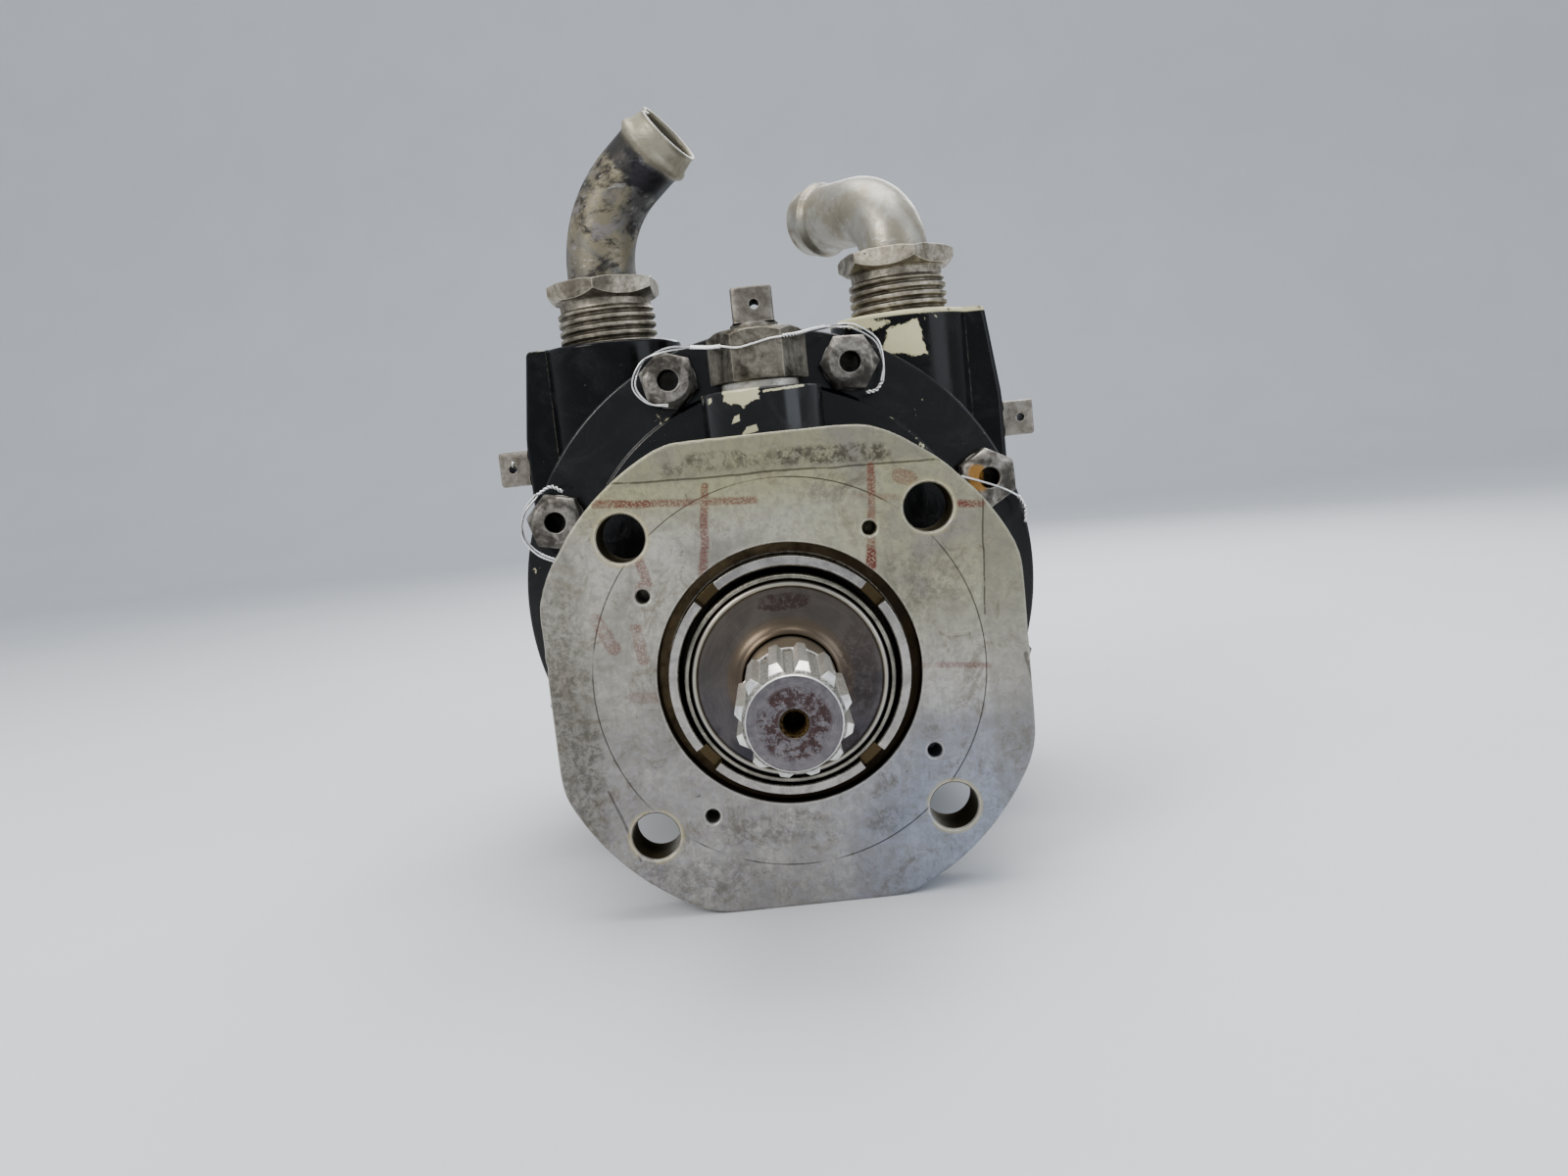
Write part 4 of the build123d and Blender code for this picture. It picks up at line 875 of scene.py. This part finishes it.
def end_cover():
    rings = [(0, 136)] + quarter(90.05, 136, -0.6, 0.6) + quarter(90.05, 148, -1.4, -1.4, True)
    rings += quarter(66, 148, 1.6, 1.6) + quarter(66, 154, -1.2, -1.2, True)
    rings += quarter(40, 154, 0.8, -0.8) + quarter(40, 151.5, -1.5, 1e-3, True)
    rings += [(30, 151.5), (28.5, 152.6), (0, 152.9)]
    piece("end_cover_casting", skin(rings, across(z=CASE_UP), 192), "black_case", "end_cover")


# ---------------- fasteners, plugs and nuts
def hex_head(flats, height, turn, hole, place):
    """A drilled hex head with chamfered corners; height runs from the washer face."""
    shape = polygon(flats, 6, turn)
    inner = flats / 2 * 0.965
    slope = tan(radians(32))

    def shoulder(a):
        return height - max(0, shape(a) - inner) * slope - 0.12

    rings = [(0, height - 6.9), (hole, height - 6.7), (hole, height + 0.25), (hole + 0.35, height + 0.6),
            (inner - 1.7, height + 0.6), (inner - 1.1, height + 0.4), (inner - 0.6, height + 0.1),
            (inner - 0.1, height)]
    rings += [(plus(shape, -0.22), plus(shoulder, 0.1)),
            (shape, plus(shoulder, -0.2)), (shape, 0.3),
            (plus(shape, -0.3), 0), (4.76, 0), (4.76, -8), (0, -8)]
    return skin(rings, place, angles=polygon_angles(6, turn, 12))


def case_bolts():
    turns = {0: 2, 1: 28, 2: 12, 3: 17, 4: 41, 5: 9, 6: 52, 7: 35}
    for name, seat, way in (("front", 60.4, -1), ("rear", 149.6, 1)):
        heads = []
        for i in range(8):
            a = radians(22.5 + 45 * i)
            place = across(BOLT_CIRCLE * cos(a), CASE_UP + BOLT_CIRCLE * sin(a), seat, way)
            heads.append(hex_head(17.46, 7.4, turns[i], 3.4, place))
        piece(name + "_bolt_heads", together(*heads), "fastener_steel", name + "_case_bolts")


def gland_nut(name, x, turn):
    """Hollow hex nut with a chamfered lower edge, a plain neck and a helical thread."""
    crest, depth, pitch = 18.1, 1.25, 3.1
    under, top, bore = 127.6, 134.2, 12.85
    shape = polygon(38.1, 6, turn)

    def thread(height):
        fade = min(1, max(0, (124.6 - height) / 1.5)) * min(1, max(0, (height - 99) / 1.5))

        def radius(a):
            wave = 0.5 + 0.5 * cos(2 * pi * (height / pitch - a / (2 * pi)))
            return crest - depth + depth * fade * min(1, wave * 1.5) - 0.04
        return radius

    def lower(a):
        return under + max(0, shape(a) - 19.2) * tan(radians(38)) + 0.1

    def upper(a):
        return top - max(0, shape(a) - 19.9) * tan(radians(25)) - 0.1

    rings = [(bore, 98), (crest - depth, 98)]
    rings += [(thread(98.4 + 0.26 * i), 98.4 + 0.26 * i) for i in range(102)]
    rings += [(crest - depth, 125.2), (crest - depth + 0.1, under - 0.8), (crest - 0.3, under), (18.9, under),
            (shape, lower), (shape, plus(lower, 0.3)), (shape, upper),
            (plus(shape, -0.35), plus(upper, 0.2)), (18.6, top), (bore + 0.5, top),
            (bore, top - 0.5)]
    mesh = skin(rings, upright_at(x, PORT_Y), angles=polygon_angles(6, turn, 20), closed=True)
    piece(name + "_nut", mesh, "gland_nut", name, sharp=30)


def square_plug(name, place, start, collar_r, hole_place, slot):
    """Collar and square head with round edges and a cross-hole."""
    shape = squircle(6.5)
    rings = [(0, start - 3), (5.9, start - 3), (5.9, start)] + quarter(collar_r, start, -0.3, 0.3)
    rings += quarter(collar_r, start + 1.7, -0.5, -0.5, True) + quarter(shape, start + 1.6, 0.3, 0.4)
    top = start + 12.6
    rings += quarter(shape, top, -0.9, -0.9, True) + [(3, top), (0, top)]
    rod = skin([(0, -12), (1.5, -12), (1.5, 12), (0, 12)], hole_place, 32)
    piece(name + "_square", carve(skin(rings, place, 96), rod), slot, name)


def drain_fitting():
    flats, bottom, top = 27, 87.6, 103.35
    turn = 30
    shape = polygon(flats, 6, turn)

    def upper(a):
        return top - max(0, shape(a) - 13.6) * tan(radians(32))

    rings = [(0, 84), (7.9, 84), (7.9, bottom), (13.2, bottom), (plus(shape, -0.3), bottom + 0.05),
            (shape, bottom + 0.5), (shape, plus(upper, -0.3)), (plus(shape, -0.35), upper),
            (13.2, top + 0.1), (12.6, top + 0.3), (11, top + 0.6), (0, top + 0.65)]
    mesh = skin(rings, upright_at(0, DRAIN_Y), angles=polygon_angles(6, turn, 16))
    piece("drain_fitting_hex", mesh, "drain_fitting", "drain_adapter")
    square_plug("drain_plug", upright_at(0, DRAIN_Y), 104, 7.6, across(0.6, 111, DRAIN_Y), "plug_steel")
    for side, name in ((-1, "left_side_plug"), (1, "right_side_plug")):
        square_plug(name, sideways(PORT_Y, PLUG_Z, side), 88, 7.3, across(side * 95.6, PLUG_Z, PORT_Y),
                "plug_steel")


# ---------------- tubes
def bent(start, corner, end, radius):
    """Place along a tube that runs straight, round one bend and straight again, and its length."""
    first, last = (corner - start).normalized(), (end - corner).normalized()
    turn = first.angle(last)
    cut = radius * tan(turn / 2)
    run, arc = (corner - start).length - cut, radius * turn
    normal = first.cross(last).normalized()
    hub = start + first * run + normal.cross(first) * radius

    def place(u, v, h):
        if h <= run:
            middle, way = start + first * h, first
        elif h <= run + arc:
            way = first.copy()
            way.rotate(Matrix.Rotation((h - run) / radius, 3, normal))
            middle = hub - normal.cross(way) * radius
        else:
            middle, way = corner + last * (cut + h - run - arc), last
        return middle + normal * u + normal.cross(way) * v
    return place, run + arc + (end - corner).length - cut


DENT_BASE = 2.718                # of the bell curve that shapes a dent along the rim


def port_tube(name, points, radius, slot, dent=0):
    """A bent tube with a hose bead near its end, a turned-out lip and an open bore."""
    place, length = bent(*[Vector(p) for p in points], radius)

    def dented(base, back):
        """A radius pushed in at one place on the rim, fading with distance from the end."""
        def radius(a):
            away = (a - 1.33 * pi + pi) % (2 * pi) - pi
            return base - dent * max(0, 1 - back / 6.5) * DENT_BASE ** (-(away / 0.24) ** 2)
        return radius

    steps = int((length - 12) / 2.2)
    outer = [(12.7, 8 + (length - 20) * i / steps) for i in range(steps + 1)]
    profile = [(11.5, 12.75), (10.2, 13), (9.4, 13.9), (8.7, 14.35), (7.9, 14.4), (7.1, 14.2), (6.3, 13.5),
            (5.4, 13.15), (4, 13), (2.6, 12.7), (1.6, 12.5), (1, 12.6), (0.45, 12.8), (0.1, 12.7),
            (0, 12.4), (0.05, 11.8), (0.4, 11.5), (1.6, 11.2), (6, 11.5), (8, 12.5), (9.6, 11.6),
            (11.5, 11)]
    rings = outer + [(dented(r, back), length - back) for back, r in profile]
    rings += [(11, 8 + (length - 20) * i / steps) for i in range(steps, -1, -1)]
    piece(name + "_bent", skin(rings, place, 96, closed=True), slot, name, sharp=40)


# ---------------- seal, ring nut and shaft
def ring_nut():
    """Slotted ring nut: four raised segments with bevelled edges."""
    centres = [radians(39.5 + 90 * i) for i in range(4)]
    half = 3.25 / 33.8

    def front(lift):
        def height(a):
            away = min(abs((a - c + pi) % (2 * pi) - pi) for c in centres)
            rise = min(1, max(0, (away - half) / 0.012))
            return 0.6 - (4.1 - lift) * rise
        return height

    angles = sorted(set([2 * pi * i / 240 for i in range(240)]
            + [(c + s * (half + d)) % (2 * pi) for c in centres for s in (-1, 1) for d in (0, 0.006, 0.012)]))
    rings = [(35.5, 9), (35.5, front(0.45)), (35.35, front(0.12)), (35, front(0)), (32.9, front(0)),
            (32.5, front(0.3)), (32.3, front(0.8)), (32.25, 9)]
    piece("ring_nut_slotted", skin(rings, across(), angles=angles, closed=True), "ring_nut_steel",
          "bearing_ring_nut", sharp=30)


def seal_parts():
    rings = [(29, 7)] + [(29, -6.4), (29.05, -7), (29.3, -7.4), (29.8, -7.5), (30.2, -7.4),
            (30.5, -7), (30.62, -6.3)] + [(30.62, 9), (35, 9), (35, 12), (18, 12),
            (18, 10.5), (21, 10.5), (21, 1), (24, 1), (24, 7)]
    piece("seal_carrier_cup", skin(rings, across(), 180, closed=True), "carrier_steel", "seal_carrier")
    rings = [(28.9, 6.8), (28.92, -5.6), (28.8, -6.5), (28.45, -7.2), (27.8, -7.55), (27.3, -7.5),
            (26.9, -7.15), (26.5, -6.95), (26, -7), (24, -7.45), (21, -8.1), (18.5, -8.7),
            (17, -9.15), (16, -9.6), (15.2, -10.3), (14.6, -10.85), (14, -11), (13.65, -10.8),
            (13.6, -10.3), (15.6, -8.5), (21.6, -7), (26, -6.1), (27.7, -5.4), (27.75, 6.8)]
    piece("seal_plate_domed", skin(rings, across(), 180, closed=True), "plate_steel", "seal_cover_plate")


TOOTH = [(-10.9, 12.2), (-10, 12.45), (-6.2, 13.9), (-4.6, 14.62), (-4.2, 14.7), (0, 14.7), (4.2, 14.7),
        (4.6, 14.62), (6.2, 13.9), (10, 12.45), (10.9, 12.2), (15, 12.2)]


def drive_shaft():
    """Splined shaft: twelve teeth cut back to a cone at the nose, a tapped hole and a round journal."""
    nose, cone = -62, 4.5 / 2.8
    corners = [(15 + 30 * i + a, r) for i in range(12) for a, r in TOOTH]
    lookup = {radians(a): r for a, r in corners}
    angles = sorted(lookup)

    def tooth(a):
        return lookup[a]

    def cut_back(a):
        return nose + (tooth(a) - 11.9) * cone

    rings = [(0, nose + 15), (2.75, nose + 13.5)]
    rings += [(2.75 + 0.22 * (i % 2), nose + 13.5 - 0.5 * i) for i in range(1, 24)]
    rings += [(2.95, nose + 1.2), (3.6, nose + 0.35), (3.8, nose), (11.3, nose), (11.7, nose + 0.08),
            (11.9, nose + 0.3)]
    rings += [(tooth, plus(cut_back, 0.3)), (tooth, -30.4),
            (lambda a: max(tooth(a) - 0.25, 12.3), -30.1), (13.2, -30), (13.2, 12), (12.5, 12.2),
            (12.5, 29), (11.7, 29), (11.7, 30.5), (12.5, 30.5), (12.5, 34), (11, 34.2), (11, 75),
            (10, 75), (10, 94), (9.525, 94), (9.525, 118), (9.5, 118), (9.5, 134.5),
            (9, 135), (0, 135)]
    piece("drive_shaft_splined", skin(rings, across(), angles=angles), "shaft_steel", "drive_shaft",
          body="drive", sharp=24)


# ---------------- locking wire
WIRE_Y = 51.9                    # the locking wires lie about here, in front of the bolt heads


def smooth_route(points, spacing=0.34):
    """A Catmull-Rom curve, evenly spaced, through points whose Y counts from WIRE_Y."""
    route = [Vector((x, WIRE_Y + y, z)) for x, y, z in points]
    route = [2 * route[0] - route[1]] + route + [2 * route[-1] - route[-2]]
    dense = []
    for a, b, c, d in zip(route, route[1:], route[2:], route[3:]):
        pieces = max(2, ceil((c - b).length / spacing))
        for i in range(pieces):
            t = i / pieces
            dense.append(0.5 * ((2 * b) + (c - a) * t + (2 * a - 5 * b + 4 * c - d) * t ** 2
                    + (3 * b - a - 3 * c + d) * t ** 3))
    return dense + [route[-2]]


def strands(points, twist=1, gap=0.37, radius=0.37, phase=0, count=2):
    """Wire laid along a route: two strands twisted about each other, or one plain strand."""
    line = smooth_route(points)
    ways = [(line[min(i + 1, len(line) - 1)] - line[max(i - 1, 0)]).normalized() for i in range(len(line))]
    side = ways[0].orthogonal().normalized()
    frames = []
    for way in ways:
        side = (side - way * side.dot(way)).normalized()
        frames.append((side, way.cross(side)))
    walked = [0]
    for a, b in zip(line, line[1:]):
        walked.append(walked[-1] + (b - a).length)
    shells = []
    for number in range(count):
        mesh = bmesh.new()
        rows = []
        for middle, (u, v), s in zip(line, frames, walked):
            swing = phase + 2 * pi * (s / twist + number / count)
            axis = middle + (u * cos(swing) + v * sin(swing)) * (gap if count > 1 else 0)
            rows.append([mesh.verts.new(axis + (u * cos(b) + v * sin(b)) * radius)
                    for b in (2 * pi * k / 8 for k in range(8))])
        for near, far in zip(rows, rows[1:]):
            for k in range(8):
                mesh.faces.new((near[k], near[(k + 1) % 8], far[(k + 1) % 8], far[k]))
        mesh.faces.new(rows[0])
        mesh.faces.new(rows[-1])
        bmesh.ops.recalc_face_normals(mesh, faces=mesh.faces)
        shells.append(mesh)
    return shells


def lockwires():
    # round the first bolt, twisted to the fitting, one strand across its hex, then over the second bolt
    shells = strands([(-31, 0, 84), (-37.5, -0.3, 85.5), (-41.6, -0.3, 91.5), (-38.5, -0.5, 98.5),
            (-33.5, -0.6, 101.2), (-28, -3.9, 102), (-21, -10.9, 101.2)], twist=40, gap=0.5)
    shells += strands([(-21, -10.9, 101.2), (-15, -21.9, 99.5), (-11, -30.5, 98.6)], twist=3.1)
    shells += strands([(-11, -30.5, 98.6), (-6, -31.1, 97.6), (-1, -31.1, 98.3), (4, -31.1, 99.3),
            (8, -31, 99.6)], count=1)
    shells += strands([(8, -31, 99.6), (13, -24.9, 100.5), (18, -15.9, 102.2), (23, -6.9, 103.6)], twist=3.1)
    shells += strands([(23, -6.9, 103.6), (27.5, -1.2, 104.2), (33, -0.9, 103.2), (39.5, -0.7, 98.2),
            (41.2, -0.6, 90.5), (40.2, -0.5, 84.8)], twist=60, gap=0.62, phase=0.8)
    shells += strands([(40.2, -0.5, 84.8), (38, -1, 82.2), (34.5, -1.6, 81.6)], twist=2.9)
    piece("top_lockwire_strands", together(*shells), "lockwire_steel", "top_lockwire", sharp=60)
    shells = strands([(-69, -1.5, 59.5), (-73, -1, 61.5), (-78, -0.8, 59.2)], twist=2.9)
    shells += strands([(-78, -0.8, 59.2), (-83.2, -0.5, 53.5), (-84.3, -0.4, 46), (-80, -0.4, 39.8),
            (-73, -0.6, 36.2), (-66, -1, 33.5)], twist=50, gap=0.45, phase=0.5)
    # a short bent wire left in the plug's hole
    shells += strands([(-94.5, 43.6, 71.5), (-95.3, 46.3, 70), (-95.6, 50.1, 69), (-95.6, 58.1, 69),
            (-96.2, 62.1, 68.4)], count=1, radius=0.5)
    piece("left_lockwire_strands", together(*shells), "lockwire_steel", "left_lockwire", sharp=60)
    shells = strands([(63.5, -1.9, 51), (70, -1.3, 48.6), (77, -1.2, 45.6), (82.2, -1, 42.4)], count=1,
            radius=0.42)
    shells += strands([(82.2, -1, 42.4), (84, -0.8, 38.5), (83.8, -0.6, 33.5)], twist=2.9)
    piece("right_lockwire_strands", together(*shells), "lockwire_steel", "right_lockwire", sharp=60)


def build_pieces():
    front_cover()
    case_body()
    end_cover()
    case_bolts()
    gland_nut("left_gland_nut", -PORT_X, -3)
    gland_nut("right_gland_nut", PORT_X, 12)
    drain_fitting()
    port_tube("left_port_tube", [(-PORT_X, PORT_Y, 84), (-PORT_X, PORT_Y, 158.5), (-23.6, 95, 182.8)],
            40, "left_tube", 2.8)
    port_tube("right_port_tube", [(PORT_X, PORT_Y, 84), (PORT_X, PORT_Y, 152.5), (27, 143.5, 155.5)],
            20, "right_tube")
    ring_nut()
    seal_parts()
    drive_shaft()
    lockwires()


def make_floor():
    """A pale floor that curves up into a backdrop."""
    s = Shade("floor")
    colour = s.mix(s.noise(6, 4), (0.66, 0.67, 0.69), (0.72, 0.73, 0.75))
    material = s.finish(colour, 0, 0.75, s.noise(500, 3), 0.05, 0.3)
    mesh = bmesh.new()
    half, back, radius, steps = 3, 1.6, 0.9, 16
    outline = [(-3, 0), (back, 0)]
    outline += [(back + radius * sin(pi / 2 * i / steps), radius - radius * cos(pi / 2 * i / steps))
            for i in range(1, steps + 1)]
    outline.append((back + radius, 3.5))
    rows = [[mesh.verts.new((side * half, y, FLOOR_Z + h)) for side in (-1, 1)] for y, h in outline]
    for near, far in zip(rows, rows[1:]):
        mesh.faces.new((near[0], near[1], far[1], far[0]))
    data = spend(mesh, "floor")
    data.shade_smooth()
    data.materials.append(material)
    floor = put("floor", data)


make_camera()
make_light()
make_floor()
FINISHES = dress_nodes()
build_pieces()
